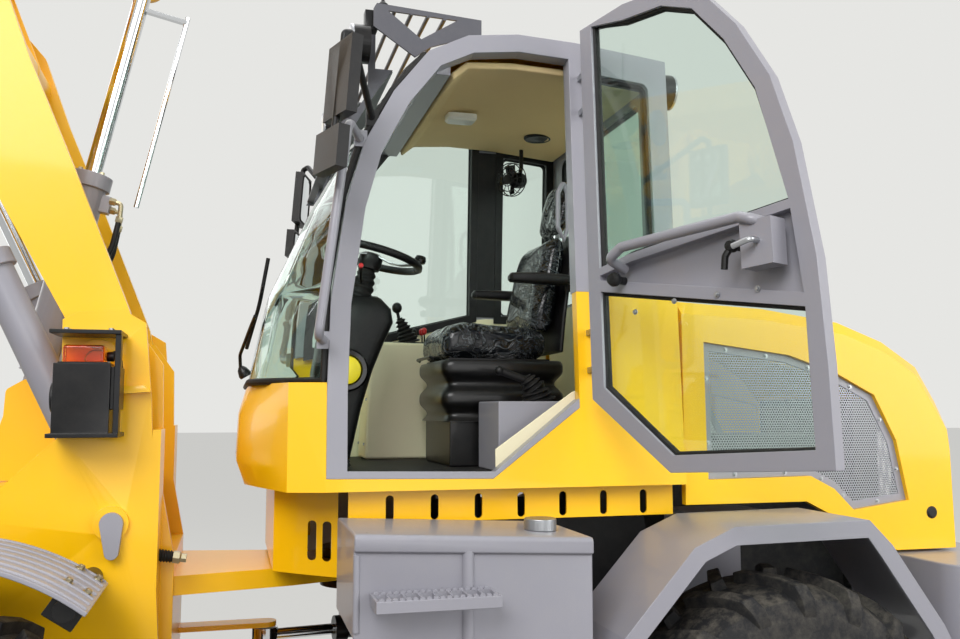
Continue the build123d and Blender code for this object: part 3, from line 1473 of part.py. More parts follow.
# Steering cylinders
for hand, name in ((-1, "left"), (1, "right")):
    base_x, base_y = steer_base
    eye_x, eye_y = steer_eye
    run = ((base_x - eye_x) ** 2 + (base_y - eye_y) ** 2) ** 0.5
    turn = degrees(atan((base_y - eye_y) / (base_x - eye_x)))
    place = Pos(base_x, hand * base_y, steer_z) * Rot(0, 0, hand * turn) * Rot(0, -90, 0) * Rot(0, 0, 90)
    barrel = barrel_solid(steer_barrel_length, steer_barrel_radius, steer_rod_radius)
    rod = rod_solid(run, steer_rod_tail, steer_rod_radius)
    save(f"steer_barrel_{name}", place * barrel)
    save(f"steer_rod_{name}", place * rod)
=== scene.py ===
"""Compact wheel loader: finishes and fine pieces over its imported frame, in metres."""

import json
import logging
import math
from dataclasses import dataclass
from enum import Enum
from typing import Sequence

import bmesh
import bpy
from mathutils import Matrix, Vector


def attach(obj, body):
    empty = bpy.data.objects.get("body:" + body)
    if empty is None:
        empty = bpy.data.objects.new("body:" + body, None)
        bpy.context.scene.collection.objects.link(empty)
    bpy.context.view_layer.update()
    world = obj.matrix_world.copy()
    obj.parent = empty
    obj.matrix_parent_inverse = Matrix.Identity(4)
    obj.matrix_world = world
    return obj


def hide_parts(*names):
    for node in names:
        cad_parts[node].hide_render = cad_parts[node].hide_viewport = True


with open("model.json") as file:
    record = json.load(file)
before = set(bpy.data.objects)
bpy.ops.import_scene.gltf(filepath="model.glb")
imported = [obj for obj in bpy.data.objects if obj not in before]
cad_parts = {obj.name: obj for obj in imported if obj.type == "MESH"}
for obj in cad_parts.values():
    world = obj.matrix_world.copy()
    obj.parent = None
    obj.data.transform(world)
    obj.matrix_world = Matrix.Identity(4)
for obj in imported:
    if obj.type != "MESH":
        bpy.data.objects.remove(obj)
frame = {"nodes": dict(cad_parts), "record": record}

LOG = logging.getLogger("loader")
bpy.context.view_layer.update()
Point = tuple[float, float, float]
Place = Point | Vector
Flat = tuple[float, float]
# Radius of a lathe profile that ends at its axis.
TIP = 0.0005


def linear(code: str) -> tuple[float, float, float, float]:
    """Turns a colour written as RRGGBB into the linear values that shaders take.

    Args:
        code: Six hexadecimal digits.

    Returns:
        Linear red, green, blue and an alpha of one.
    """
    parts = [int(code[i : i + 2], 16) / 255 for i in (0, 2, 4)]
    red, green, blue = (v / 12.92 if v <= 0.04045 else ((v + 0.055) / 1.055) ** 2.4 for v in parts)
    return (red, green, blue, 1.0)


class Board:
    """Places and joins the nodes of one tree."""

    def __init__(self, tree: bpy.types.NodeTree) -> None:
        """Keeps the tree that the nodes go in."""
        self.tree = tree
        self.count = 0

    def add(self, kind: str, values: dict | None = None, **settings: object) -> bpy.types.Node:
        """Adds a node.

        Args:
            kind: The node's type name.
            values: Input names and the values or sockets that they take.
            **settings: The node's own properties.

        Returns:
            The new node.
        """
        node = self.tree.nodes.new(kind)
        node.location = (180 * (self.count % 12), -260 * (self.count // 12))
        self.count += 1
        for name, value in settings.items():
            setattr(node, name, value)
        for name, value in (values or {}).items():
            socket = node.inputs[name]
            if isinstance(value, bpy.types.NodeSocket):
                self.tree.links.new(value, socket)
            else:
                socket.default_value = value
        return node

    def maths(self, operation: str, first: object, second: object = 0.0) -> bpy.types.NodeSocket:
        """Adds a sum of two values or sockets and returns its result."""
        return self.add("ShaderNodeMath", {0: first, 1: second}, operation=operation).outputs[0]

    def blend(self, factor: object, first: object, second: object) -> bpy.types.NodeSocket:
        """Adds a mix of two colours and returns its result."""
        node = self.add("ShaderNodeMix", data_type="RGBA")
        for socket, value in zip((node.inputs[0], node.inputs[6], node.inputs[7]), (factor, first, second)):
            if isinstance(value, bpy.types.NodeSocket):
                self.tree.links.new(value, socket)
            else:
                socket.default_value = value
        return node.outputs[2]

    def span(self, value: object, low: float, high: float, to_low: float,
             to_high: float) -> bpy.types.NodeSocket:
        """Adds a clamped change of range and returns its result."""
        values = {"Value": value, "From Min": low, "From Max": high, "To Min": to_low, "To Max": to_high}
        return self.add("ShaderNodeMapRange", values).outputs[0]


class SocketKind(Enum):
    """Kinds of socket on a node group."""

    VALUE = "NodeSocketFloat"
    COLOUR = "NodeSocketColor"
    COUNT = "NodeSocketInt"
    SHAPE = "NodeSocketGeometry"
    PLACE = "NodeSocketVector"
    FINISH = "NodeSocketMaterial"
    ITEM = "NodeSocketObject"


def group_tree(name: str, kind: str, inputs: dict[str, SocketKind], outputs: dict[str, SocketKind]) -> Board:
    """Starts a node group with named sockets.

    Args:
        name: The group's name.
        kind: ShaderNodeTree or GeometryNodeTree.
        inputs: Input names and kinds.
        outputs: Output names and kinds.

    Returns:
        A board over the new group.
    """
    tree = bpy.data.node_groups.new(name, kind)
    for socket, form in inputs.items():
        tree.interface.new_socket(socket, in_out="INPUT", socket_type=form.value)
    for socket, form in outputs.items():
        tree.interface.new_socket(socket, in_out="OUTPUT", socket_type=form.value)
    return Board(tree)


class SurfaceGroups:
    """Shader node groups that the finishes share, each built once."""

    def __init__(self) -> None:
        """Builds every group."""
        self.tone = self._tone()
        self.grain = self._grain()
        self.wear = self._wear()
        self.creases = self._creases()

    @staticmethod
    def _tone() -> bpy.types.NodeTree:
        """Colour that drifts a little over the surface and gathers dust where it faces up."""
        inputs = {"Colour": SocketKind.COLOUR, "Dust Colour": SocketKind.COLOUR, "Drift": SocketKind.VALUE}
        inputs |= {"Dust": SocketKind.VALUE, "Scale": SocketKind.VALUE}
        board = group_tree("tone_and_dust", "ShaderNodeTree", inputs,
                           {"Colour": SocketKind.COLOUR, "Mask": SocketKind.VALUE})
        given = board.add("NodeGroupInput").outputs
        place = board.add("ShaderNodeTexCoord").outputs["Object"]
        noise = board.add("ShaderNodeTexNoise", {"Vector": place, "Scale": given["Scale"], "Detail": 4.0})
        drift = board.maths("MULTIPLY", board.maths("SUBTRACT", noise.outputs[0], 0.5), given["Drift"])
        toned = board.add("ShaderNodeHueSaturation",
                          {"Color": given["Colour"], "Value": board.maths("ADD", drift, 1.0)})
        fine = board.add("ShaderNodeTexNoise",
                         {"Vector": place, "Scale": 23.0, "Detail": 6.0, "Roughness": 0.7})
        normal = board.add("ShaderNodeNewGeometry").outputs["Normal"]
        up = board.add("ShaderNodeSeparateXYZ", {"Vector": normal}).outputs["Z"]
        facing = board.span(up, 0.1, 1.0, 0.35, 1.0)
        mask = board.maths("MULTIPLY", board.span(fine.outputs[0], 0.42, 0.75, 0.0, 1.0), facing)
        mask = board.maths("MULTIPLY", mask, given["Dust"])
        board.add("NodeGroupOutput",
                  {"Colour": board.blend(mask, toned.outputs[0], given["Dust Colour"]), "Mask": mask})
        return board.tree

    @staticmethod
    def _grain() -> bpy.types.NodeTree:
        """Height of a moulded or sprayed surface."""
        inputs = {"Scale": SocketKind.VALUE, "Pebble": SocketKind.VALUE}
        board = group_tree("fine_grain", "ShaderNodeTree", inputs, {"Height": SocketKind.VALUE})
        given = board.add("NodeGroupInput").outputs
        place = board.add("ShaderNodeTexCoord").outputs["Object"]
        noise = board.add("ShaderNodeTexNoise", {"Vector": place, "Scale": given["Scale"], "Detail": 3.0})
        cells = board.add("ShaderNodeTexVoronoi", {"Vector": place, "Scale": given["Scale"]})
        pebble = board.maths("MULTIPLY", cells.outputs["Distance"], given["Pebble"])
        board.add("NodeGroupOutput", {"Height": board.maths("ADD", noise.outputs[0], pebble)})
        return board.tree

    @staticmethod
    def _wear() -> bpy.types.NodeTree:
        """Mask of bare metal on edges and in scattered scratches."""
        inputs = {"Scale": SocketKind.VALUE, "Amount": SocketKind.VALUE}
        board = group_tree("edge_wear", "ShaderNodeTree", inputs, {"Mask": SocketKind.VALUE})
        given = board.add("NodeGroupInput").outputs
        place = board.add("ShaderNodeTexCoord").outputs["Object"]
        noise = board.add("ShaderNodeTexNoise", {"Vector": place, "Scale": given["Scale"], "Detail": 8.0})
        edge = board.span(board.add("ShaderNodeNewGeometry").outputs["Pointiness"], 0.5, 0.62, 0.0, 1.0)
        worn = board.maths("MULTIPLY", edge, board.span(noise.outputs[0], 0.4, 0.6, 0.0, 1.0))
        board.add("NodeGroupOutput", {"Mask": board.maths("MULTIPLY", worn, given["Amount"])})
        return board.tree

    @staticmethod
    def _creases() -> bpy.types.NodeTree:
        """Height of thin clear film drawn over a soft surface, and a mask of its ridges for painted highlights."""
        inputs = {"Scale": SocketKind.VALUE}
        board = group_tree("film_creases_painted_highlights", "ShaderNodeTree", inputs,
                           {"Height": SocketKind.VALUE, "Mask": SocketKind.VALUE})
        given = board.add("NodeGroupInput").outputs
        place = board.add("ShaderNodeTexCoord").outputs["Object"]
        swirl = board.add("ShaderNodeTexNoise", {"Vector": place, "Scale": 5.0, "Detail": 2.0})
        push = board.add("ShaderNodeVectorMath", {0: swirl.outputs["Color"], "Scale": 0.35},
                         operation="SCALE")
        moved = board.add("ShaderNodeVectorMath", {0: place, 1: push.outputs[0]}, operation="ADD")
        stretch = board.add("ShaderNodeMapping", {"Vector": moved.outputs[0], "Scale": (1.0, 0.35, 2.2)})
        noise = board.add("ShaderNodeTexNoise",
                          {"Vector": stretch.outputs[0], "Scale": given["Scale"], "Detail": 3.0})
        ridge = board.maths("ABSOLUTE", board.maths("SUBTRACT", noise.outputs[0], 0.5))
        height = board.span(ridge, 0.0, 0.09, 1.0, 0.0)
        # The mask marks the ridges where a painted highlight goes.
        board.add("NodeGroupOutput", {"Height": height, "Mask": board.span(height, 0.72, 1.0, 0.0, 1.0)})
        return board.tree


GROUPS = SurfaceGroups()


@dataclass(frozen=True)
class Finish:
    """One opaque finish: its colour, gloss, grain, dust and wear, with painted highlights on film creases where it
    has them.
    """

    name: str
    slot: str
    colour: str
    rough: float = 0.4
    metal: float = 0.0
    coat: float = 0.0
    grain_scale: float = 500.0
    grain_depth: float = 0.0002
    pebble: float = 0.0
    drift: float = 0.12
    dust: float = 0.12
    dust_colour: str = "B8AE9C"
    wear: float = 0.0
    wear_colour: str = "8E8A86"
    crease_scale: float = 0.0
    specular: float = 0.5

    def build(self) -> bpy.types.Material:
        """Builds the material, or returns it if it is there already."""
        if self.name in bpy.data.materials:
            return bpy.data.materials[self.name]
        material = bpy.data.materials.new(self.name)
        material.use_nodes = True
        material.diffuse_color = linear(self.colour)
        board = Board(material.node_tree)
        shader = material.node_tree.nodes["Principled BSDF"]
        given = {"Colour": linear(self.colour), "Dust Colour": linear(self.dust_colour), "Drift": self.drift}
        given |= {"Dust": self.dust, "Scale": 3.5}
        tone = board.add("ShaderNodeGroup", node_tree=GROUPS.tone)
        grain = board.add("ShaderNodeGroup", node_tree=GROUPS.grain)
        for name, value in given.items():
            tone.inputs[name].default_value = value
        grain.inputs["Scale"].default_value = self.grain_scale
        grain.inputs["Pebble"].default_value = self.pebble
        colour, mask = tone.outputs["Colour"], tone.outputs["Mask"]
        rough = board.span(mask, 0.0, 0.6, self.rough, min(1.0, self.rough + 0.35))
        height = grain.outputs["Height"]
        bump = {"Height": height, "Strength": 0.6, "Distance": self.grain_depth}
        if self.crease_scale:
            crease_and_highlight = board.add("ShaderNodeGroup", node_tree=GROUPS.creases)
            crease_and_highlight.inputs["Scale"].default_value = self.crease_scale
            bump = {"Height": crease_and_highlight.outputs["Height"], "Strength": 0.9, "Distance": 0.006}
            # Pale grey 9AA2A8 mixed in on the film's ridges is a painted highlight, not the film's own colour.
            colour = board.blend(board.maths("MULTIPLY", crease_and_highlight.outputs["Mask"], 0.3), colour,
                                 linear("9AA2A8"))
        if self.wear:
            worn = board.add("ShaderNodeGroup", node_tree=GROUPS.wear)
            worn.inputs["Scale"].default_value = 40.0
            worn.inputs["Amount"].default_value = self.wear
            colour = board.blend(worn.outputs["Mask"], colour, linear(self.wear_colour))
        links = material.node_tree.links
        links.new(colour, shader.inputs["Base Color"])
        links.new(rough, shader.inputs["Roughness"])
        links.new(board.add("ShaderNodeBump", bump).outputs[0], shader.inputs["Normal"])
        shader.inputs["Metallic"].default_value = self.metal
        shader.inputs["Coat Weight"].default_value = self.coat
        shader.inputs["Coat Roughness"].default_value = 0.06
        shader.inputs["Specular IOR Level"].default_value = self.specular
        return material


@dataclass(frozen=True)
class ClearFinish:
    """Glass or a clear lens, which lets lamp light pass."""

    name: str
    slot: str
    colour: str
    rough: float = 0.02
    ior: float = 1.45

    def build(self) -> bpy.types.Material:
        """Builds the material, or returns it if it is there already."""
        if self.name in bpy.data.materials:
            return bpy.data.materials[self.name]
        material = bpy.data.materials.new(self.name)
        material.use_nodes = True
        board = Board(material.node_tree)
        shader = material.node_tree.nodes["Principled BSDF"]
        output = material.node_tree.nodes["Material Output"]
        tone = board.add("ShaderNodeGroup", node_tree=GROUPS.tone)
        given = {"Colour": linear(self.colour), "Dust Colour": linear("D8D4C8"), "Drift": 0.03, "Dust": 0.1,
                 "Scale": 2.0}
        for name, value in given.items():
            tone.inputs[name].default_value = value
        links = material.node_tree.links
        links.new(tone.outputs["Colour"], shader.inputs["Base Color"])
        links.new(board.span(tone.outputs["Mask"], 0.0, 1.0, self.rough, self.rough + 0.2),
                  shader.inputs["Roughness"])
        shader.inputs["Transmission Weight"].default_value = 1.0
        shader.inputs["IOR"].default_value = self.ior
        passing = board.add("ShaderNodeBsdfTransparent", {"Color": linear(self.colour)})
        path = board.add("ShaderNodeLightPath")
        mix = board.add("ShaderNodeMixShader", {0: path.outputs["Is Shadow Ray"]})
        links.new(shader.outputs[0], mix.inputs[1])
        links.new(passing.outputs[0], mix.inputs[2])
        links.new(mix.outputs[0], output.inputs["Surface"])
        return material


YELLOW = Finish("yellow_enamel", "yellow_paint", "FFC306", 0.32, coat=0.25, grain_scale=260,
                grain_depth=0.0003, drift=0.06, dust=0.05, specular=0.4)
GREY = Finish("grey_enamel", "grey_paint", "92919A", 0.38, coat=0.2, grain_scale=320, grain_depth=0.0003,
              drift=0.1, dust=0.14)
BLACK_PAINT = Finish("black_enamel", "black_paint", "0F0F11", 0.34, coat=0.06, dust=0.04, grain_scale=300,
                     grain_depth=0.0003, specular=0.25)
DARK_GREY = Finish("guard_enamel", "grey_paint", "55555C", 0.4, coat=0.1, grain_scale=320, grain_depth=0.0003,
                   dust=0.1, specular=0.35)
TYRE = Finish("lugged_tyre_rubber", "tyre_rubber", "202022", 0.75, grain_scale=240, grain_depth=0.0006,
              pebble=0.4, dust=0.3, drift=0.3, specular=0.3)
RUBBER = Finish("plain_rubber", "black_rubber", "0D0D0E", 0.6, grain_scale=400, pebble=0.3, dust=0.05,
                specular=0.3)
HOSE = Finish("hose_cover", "black_rubber", "111112", 0.5, grain_scale=700, grain_depth=0.0005, pebble=0.8,
              dust=0.06, specular=0.3)
CHROME = Finish("polished_chrome", "rod_chrome", "D6D8DB", 0.09, metal=1.0, grain_scale=900,
                grain_depth=0.00002, drift=0.04, dust=0.03)
ZINC = Finish("zinc_plate", "zinc_steel", "B9AE8E", 0.32, metal=0.9, grain_scale=600, grain_depth=0.0002,
              drift=0.4, dust=0.1, wear=0.3)
BOLT = Finish("bolt_steel", "zinc_steel", "A7A9AC", 0.35, metal=0.95, grain_scale=600, drift=0.3, dust=0.1)
SILVER = Finish("silver_spokes", "zinc_steel", "B9BBC0", 0.32, metal=0.8, grain_scale=800, grain_depth=0.0001,
                dust=0.05)
MESH = Finish("punched_sheet", "grey_paint", "9A9CA0", 0.42, metal=0.55, grain_scale=500, drift=0.2, dust=0.1)
BEIGE = Finish("beige_panel", "beige_plastic", "EBE1BF", 0.55, grain_scale=650, grain_depth=0.0006,
               pebble=0.8, dust=0.05)
LINER = Finish("ceiling_fabric", "beige_plastic", "F0D6A0", 0.8, grain_scale=900, grain_depth=0.0008,
               pebble=1.0, dust=0.0)
PLASTIC = Finish("moulded_plastic", "black_plastic", "0F0F11", 0.42, grain_scale=700, grain_depth=0.0004,
                 pebble=0.7, dust=0.04, specular=0.3)
GLOSSY = Finish("gloss_black", "black_plastic", "08080A", 0.14, coat=0.3, grain_scale=300,
                grain_depth=0.00005, dust=0.02, specular=0.4)
# The seat's crease_scale adds film creases with painted highlights on their ridges.
SEAT = Finish("filmed_seat_cover", "seat_cover", "0C0F14", 0.14, coat=0.3, grain_scale=900, crease_scale=24.0,
              drift=0.2, dust=0.0, specular=0.35)
BELLOWS = Finish("seat_bellows", "black_rubber", "0A0A0B", 0.34, coat=0.15, grain_scale=500, pebble=0.5,
                 dust=0.03, specular=0.35)
WHITE = Finish("white_lens", "beige_plastic", "ECECE6", 0.35, coat=0.3, grain_scale=300, grain_depth=0.0001,
               dust=0.0)
RED = Finish("red_plastic", "black_plastic", "C21A1E", 0.3, coat=0.3, grain_scale=500, grain_depth=0.0001,
             dust=0.03)
SUN_DISC = Finish("yellow_plastic", "black_plastic", "F2D512", 0.35, coat=0.2, grain_scale=500,
                  grain_depth=0.0001, dust=0.03)
LIGHT_GREY = Finish("light_grey_plastic", "black_plastic", "8F8F96", 0.45, grain_scale=600, pebble=0.6,
                    dust=0.05)
CUTTING_STEEL = Finish("cutting_edge_steel", "black_paint", "3A3836", 0.5, metal=0.6, grain_scale=200,
                       grain_depth=0.001, drift=0.5, wear=0.7)
MIRROR = Finish("mirror_silver", "rod_chrome", "DDE2E4", 0.02, metal=1.0, grain_depth=0.000001, drift=0.01,
                dust=0.04)
DARK = Finish("engine_black", "black_paint", "202124", 0.6, grain_scale=250, pebble=0.5, dust=0.2, drift=0.3)
GLASS = ClearFinish("cab_glass_clear", "clear_glass", "DCEBE3")
AMBER = ClearFinish("amber_lens", "clear_glass", "FF8A1E", 0.12)
RED_LENS = ClearFinish("red_lens", "clear_glass", "D0121A", 0.12)


def placed(name: str, data: bpy.types.ID) -> bpy.types.Object:
    """Makes an object of a mesh, lamp or camera at the origin and links it to the scene."""
    made = bpy.data.objects.new(name, data)
    bpy.context.scene.collection.objects.link(made)
    return made


def show(piece: bpy.types.Object, body: str, finish: Finish | ClearFinish,
         stands_for: Sequence[str] = ()) -> bpy.types.Object:
    """Gives a piece its finish and joins it to its body.

    Args:
        piece: The finished mesh object.
        body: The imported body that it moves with.
        finish: The finish, whose material it takes if it has none yet.
        stands_for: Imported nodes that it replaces.

    Returns:
        The same piece.
    """
    if not piece.data.materials:
        piece.data.materials.append(finish.build())
    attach(piece, body)
    if stands_for:
        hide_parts(*stands_for)
    LOG.info("%s rides on %s", piece.name, body)
    return piece


def soften(piece: bpy.types.Object, width: float, steps: int = 2, angle: float = 32.0) -> None:
    """Rounds the sharp edges of a piece and shades the rest smooth.

    Args:
        piece: The mesh object.
        width: Width of the rounding in metres.
        steps: Faces across each rounded edge.
        angle: Smallest turn in degrees that counts as an edge.
    """
    piece.data.shade_smooth()
    piece.data.set_sharp_from_angle(angle=math.radians(angle))
    if width > 0:
        bevel = piece.modifiers.new("rounded_edges", "BEVEL")
        bevel.width = width
        bevel.segments = steps
        bevel.limit_method = "ANGLE"
        bevel.angle_limit = math.radians(angle)
        bevel.harden_normals = True
        bevel.use_clamp_overlap = True


def circle(radius: float, count: int, start: float = 0.0) -> list[Flat]:
    """Points spread evenly round a circle, from a start angle."""
    turns = [start + 2 * math.pi * index / count for index in range(count)]
    return [(radius * math.cos(turn), radius * math.sin(turn)) for turn in turns]


def turned(direction: Sequence[float], place: Sequence[float]) -> Matrix:
    """Matrix that stands +Z along a direction at a place."""
    return Matrix.Translation(Vector(place)) @ Vector(direction).to_track_quat("Z", "Y").to_matrix().to_4x4()


def rounded(path: Sequence[Place], radius: float, steps: int = 5) -> list[Vector]:
    """Rounds the corners of a path with arcs.

    Args:
        path: Corner points in order.
        radius: Largest arc radius in metres.
        steps: Lengths in each arc.

    Returns:
        The points of the rounded path.
    """
    points = [Vector(p) for p in path]
    made = [points[0]]
    for before, corner, after in zip(points, points[1:], points[2:]):
        back, ahead = before - corner, after - corner
        turn = math.pi - back.angle(ahead)
        cut = min(radius * math.tan(turn / 2), 0.48 * back.length, 0.48 * ahead.length)
        start, end = corner + back.normalized() * cut, corner + ahead.normalized() * cut
        for index in range(steps + 1):
            share = index / steps
            made.append(start.lerp(corner, share).lerp(corner.lerp(end, share), share))
    made.append(points[-1])
    return made


class Shape:
    """A mesh under construction."""

    def __init__(self) -> None:
        """Starts an empty mesh."""
        self.bm = bmesh.new()

    def rings(self, rings: Sequence[Sequence[Vector]], closed: bool = False, capped: bool = True) -> "Shape":
        """Joins rings of points, in order, into a skin.

        Args:
            rings: Rings with the same number of points.
            closed: Whether the last ring meets the first.
            capped: Whether the open ends get a face.

        Returns:
            This shape.
        """
        made = [[self.bm.verts.new(p) for p in ring] for ring in rings]
        pairs = list(zip(made, made[1:])) + ([(made[-1], made[0])] if closed else [])
        for first, second in pairs:
            for i in range(len(first)):
                j = (i + 1) % len(first)
                self.bm.faces.new((first[i], first[j], second[j], second[i]))
        if capped and not closed:
            self.bm.faces.new(made[0][::-1])
            self.bm.faces.new(made[-1])
        return self

    def box(self, low: Sequence[float], high: Sequence[float], turn: Matrix | None = None) -> "Shape":
        """Adds a box between two corners, turned by a matrix if one is given."""
        lower = [Vector((x, y, low[2])) for x,
                 y in ((low[0], low[1]), (high[0], low[1]), (high[0], high[1]), (low[0], high[1]))]
        upper = [Vector((p.x, p.y, high[2])) for p in lower]
        rings = [[turn @ p for p in ring] if turn else ring for ring in (lower, upper)]
        return self.rings(rings)

    def prism(self, outline: Sequence[Flat], base: Matrix, depth: float) -> "Shape":
        """Adds a flat outline, drawn in the base's XY plane, pushed along its Z.

        Args:
            outline: Corner points in order.
            base: Place of the outline's plane.
            depth: Length along the plane's Z.

        Returns:
            This shape.
        """
        lower = [base @ Vector((u, v, 0.0)) for u, v in outline]
        upper = [base @ Vector((u, v, depth)) for u, v in outline]
        return self.rings([lower, upper])

    def lathe(self, profile: Sequence[Flat], base: Matrix, steps: int = 32, closed: bool = False) -> "Shape":
        """Adds a profile of radius and height turned about the base's Z.

        Args:
            profile: Radius and height of each ring.
            base: Place of the axis.
            steps: Points in each ring.
            closed: Whether the profile is a loop, which leaves the middle open.

        Returns:
            This shape.
        """
        made = [[base @ Vector((u, v, height)) for u, v in circle(radius, steps)] for radius,
                height in profile]
        return self.rings(made, closed)

    def tube(self, path: Sequence[Place], radius: float, sides: int = 12, corner: float = 0.0,
             closed: bool = False) -> "Shape":
        """Adds a round bar along a path.

        Args:
            path: Corner points in order.
            radius: The bar's radius.
            sides: Points around the bar.
            corner: Radius of the path's corners.
            closed: Whether the path is a loop.

        Returns:
            This shape.
        """
        points = rounded(path, corner) if corner else [Vector(p) for p in path]
        count = len(points)
        frame_up = None
        made = []
        for index, point in enumerate(points):
            before = points[(index - 1) % count] if closed or index else point
            after = points[(index + 1) % count] if closed or index < count - 1 else point
            ahead = (after - before).normalized()
            if frame_up is None:
                frame_up = ahead.orthogonal().normalized()
            frame_up = (frame_up - ahead * frame_up.dot(ahead)).normalized()
            side = ahead.cross(frame_up)
            made.append([point + frame_up * u + side * v for u, v in circle(radius, sides)])
        return self.rings(made, closed)

    def ball(self, centre: Sequence[float], radius: float, squash: float = 1.0, steps: int = 16) -> "Shape":
        """Adds a ball, pressed flat along Z by a share."""
        profile = []
        for index in range(steps + 1):
            angle = math.pi * (index / steps - 0.5)
            profile.append((max(1e-4, radius * math.cos(angle)), radius * squash * math.sin(angle)))
        return self.lathe(profile, Matrix.Translation(Vector(centre)), steps * 2)

    def both(self) -> "Shape":
        """Adds the same shape on the machine's other side."""
        made = bmesh.ops.duplicate(self.bm,
                                   geom=self.bm.verts[:] + self.bm.edges[:] + self.bm.faces[:])["geom"]
        verts = [g for g in made if isinstance(g, bmesh.types.BMVert)]
        for vert in verts:
            vert.co.y = -vert.co.y
        bmesh.ops.reverse_faces(self.bm, faces=[g for g in made if isinstance(g, bmesh.types.BMFace)])
        return self

    def across(self) -> "Shape":
        """Moves the shape to the machine's other side."""
        for vert in self.bm.verts:
            vert.co.y = -vert.co.y
        return self

    def object(self, name: str) -> bpy.types.Object:
        """Closes the mesh, turns its faces outwards and makes its object."""
        bmesh.ops.remove_doubles(self.bm, verts=self.bm.verts, dist=1e-6)
        bmesh.ops.recalc_face_normals(self.bm, faces=self.bm.faces)
        mesh = bpy.data.meshes.new(name)
        self.bm.to_mesh(mesh)
        self.bm.free()
        return placed(name, mesh)

    def piece(self, name: str, body: str, finish: Finish | ClearFinish, edge: float = 0.0,
              stands_for: Sequence[str] = ()) -> bpy.types.Object:
        """Makes the finished piece: object, rounded edges, finish and body."""
        made = self.object(name)
        soften(made, edge)
        return show(made, body, finish, stands_for)


class GrowthTree:
    """A Geometry Nodes tree with named inputs, turned into plain meshes."""

    def __init__(self, board: Board) -> None:
        """Keeps the finished tree."""
        self.tree = board.tree

    def grow(self, name: str, base: bpy.types.Object, values: dict[str, object]) -> bpy.types.Object:
        """Runs the tree on a base object and keeps the result as a plain mesh.

        Args:
            name: The new object's name.
            base: The object that the tree works on, which is then removed.
            values: Input names and values.

        Returns:
            The new mesh object.
        """
        modifier = base.modifiers.new("growth", "NODES")
        modifier.node_group = self.tree
        for item in self.tree.interface.items_tree:
            if item.in_out == "INPUT" and item.name in values:
                modifier[item.identifier] = values[item.name]
        base.update_tag()
        depsgraph = bpy.context.evaluated_depsgraph_get()
        mesh = bpy.data.meshes.new_from_object(base.evaluated_get(depsgraph))
        base.modifiers.remove(modifier)
        bpy.data.objects.remove(base)
        mesh.name = name
        return placed(name, mesh)


def points_object(points: Sequence[Place], aims: Sequence[Place] = ()) -> bpy.types.Object:
    """Makes a cloud of loose points, each with the direction that its copy faces.

    Args:
        points: Places in metres.
        aims: One direction for each place.

    Returns:
        The mesh object of loose points.
    """
    mesh = bpy.data.meshes.new("seed_points")
    mesh.from_pydata([tuple(p) for p in points], [], [])
    if aims:
        layer = mesh.attributes.new("aim", "FLOAT_VECTOR", "POINT")
        for index, aim in enumerate(aims):
            layer.data[index].vector = aim
    return placed("seed_points", mesh)


def growth_board(name: str, inputs: dict[str, SocketKind]) -> Board:
    """Starts a Geometry Nodes group that takes geometry, named values and a finish."""
    shape = {"Geometry": SocketKind.SHAPE}
    return group_tree(name, "GeometryNodeTree", shape | inputs | {"Finish": SocketKind.FINISH}, shape)


def finished(board: Board, geometry: bpy.types.NodeSocket, finish: bpy.types.NodeSocket) -> GrowthTree:
    """Ends a tree: makes its copies real and gives them their finish."""
    real = board.add("GeometryNodeRealizeInstances", {"Geometry": geometry}).outputs[0]
    done = board.add("GeometryNodeSetMaterial", {"Geometry": real, "Material": finish}).outputs[0]
    board.add("NodeGroupOutput", {"Geometry": done})
    return GrowthTree(board)


def bolt_tree() -> GrowthTree:
    """Hexagon heads on washers, one at each point, facing its direction."""
    board = growth_board("bolt_heads", {name: SocketKind.VALUE for name in ("Width", "Height", "Washer")})
    given = board.add("NodeGroupInput").outputs
    thin = board.maths("MULTIPLY", given["Height"], 0.3)
    radius = board.maths("MULTIPLY", given["Width"], 0.577)
    head = board.add("GeometryNodeMeshCylinder", {"Vertices": 6, "Radius": radius, "Depth": given["Height"]})
    cap = board.add("GeometryNodeMeshCylinder",
                    {"Vertices": 12, "Radius": board.maths("MULTIPLY", radius, 0.8)})
    board.tree.links.new(board.maths("MULTIPLY", thin, 0.6), cap.inputs["Depth"])
    ring = board.add("GeometryNodeMeshCylinder", {"Vertices": 18, "Radius": given["Washer"], "Depth": thin})
    lift = board.maths("MULTIPLY", given["Height"], 0.75)
    head_up = board.add("ShaderNodeCombineXYZ", {"Z": lift}).outputs[0]
    cap_up = board.add("ShaderNodeCombineXYZ",
                       {"Z": board.maths("MULTIPLY", given["Height"], 1.3)}).outputs[0]
    placed_head = board.add("GeometryNodeTransform", {"Geometry": head.outputs[0], "Translation": head_up})
    placed_cap = board.add("GeometryNodeTransform", {"Geometry": cap.outputs[0], "Translation": cap_up})
    ring_up = board.add("ShaderNodeCombineXYZ", {"Z": board.maths("MULTIPLY", thin, 0.5)}).outputs[0]
    placed_ring = board.add("GeometryNodeTransform", {"Geometry": ring.outputs[0], "Translation": ring_up})
    joined = board.add("GeometryNodeJoinGeometry")
    for node in (placed_head, placed_cap, placed_ring):
        board.tree.links.new(node.outputs[0], joined.inputs[0])
    aim = board.add("GeometryNodeInputNamedAttribute", {"Name": "aim"}, data_type="FLOAT_VECTOR").outputs[0]
    turn = board.add("FunctionNodeAlignRotationToVector", {"Vector": aim}, axis="Z").outputs[0]
    values = {"Points": given["Geometry"], "Instance": joined.outputs[0], "Rotation": turn}
    copies = board.add("GeometryNodeInstanceOnPoints", values).outputs[0]
    return finished(board, copies, given["Finish"])


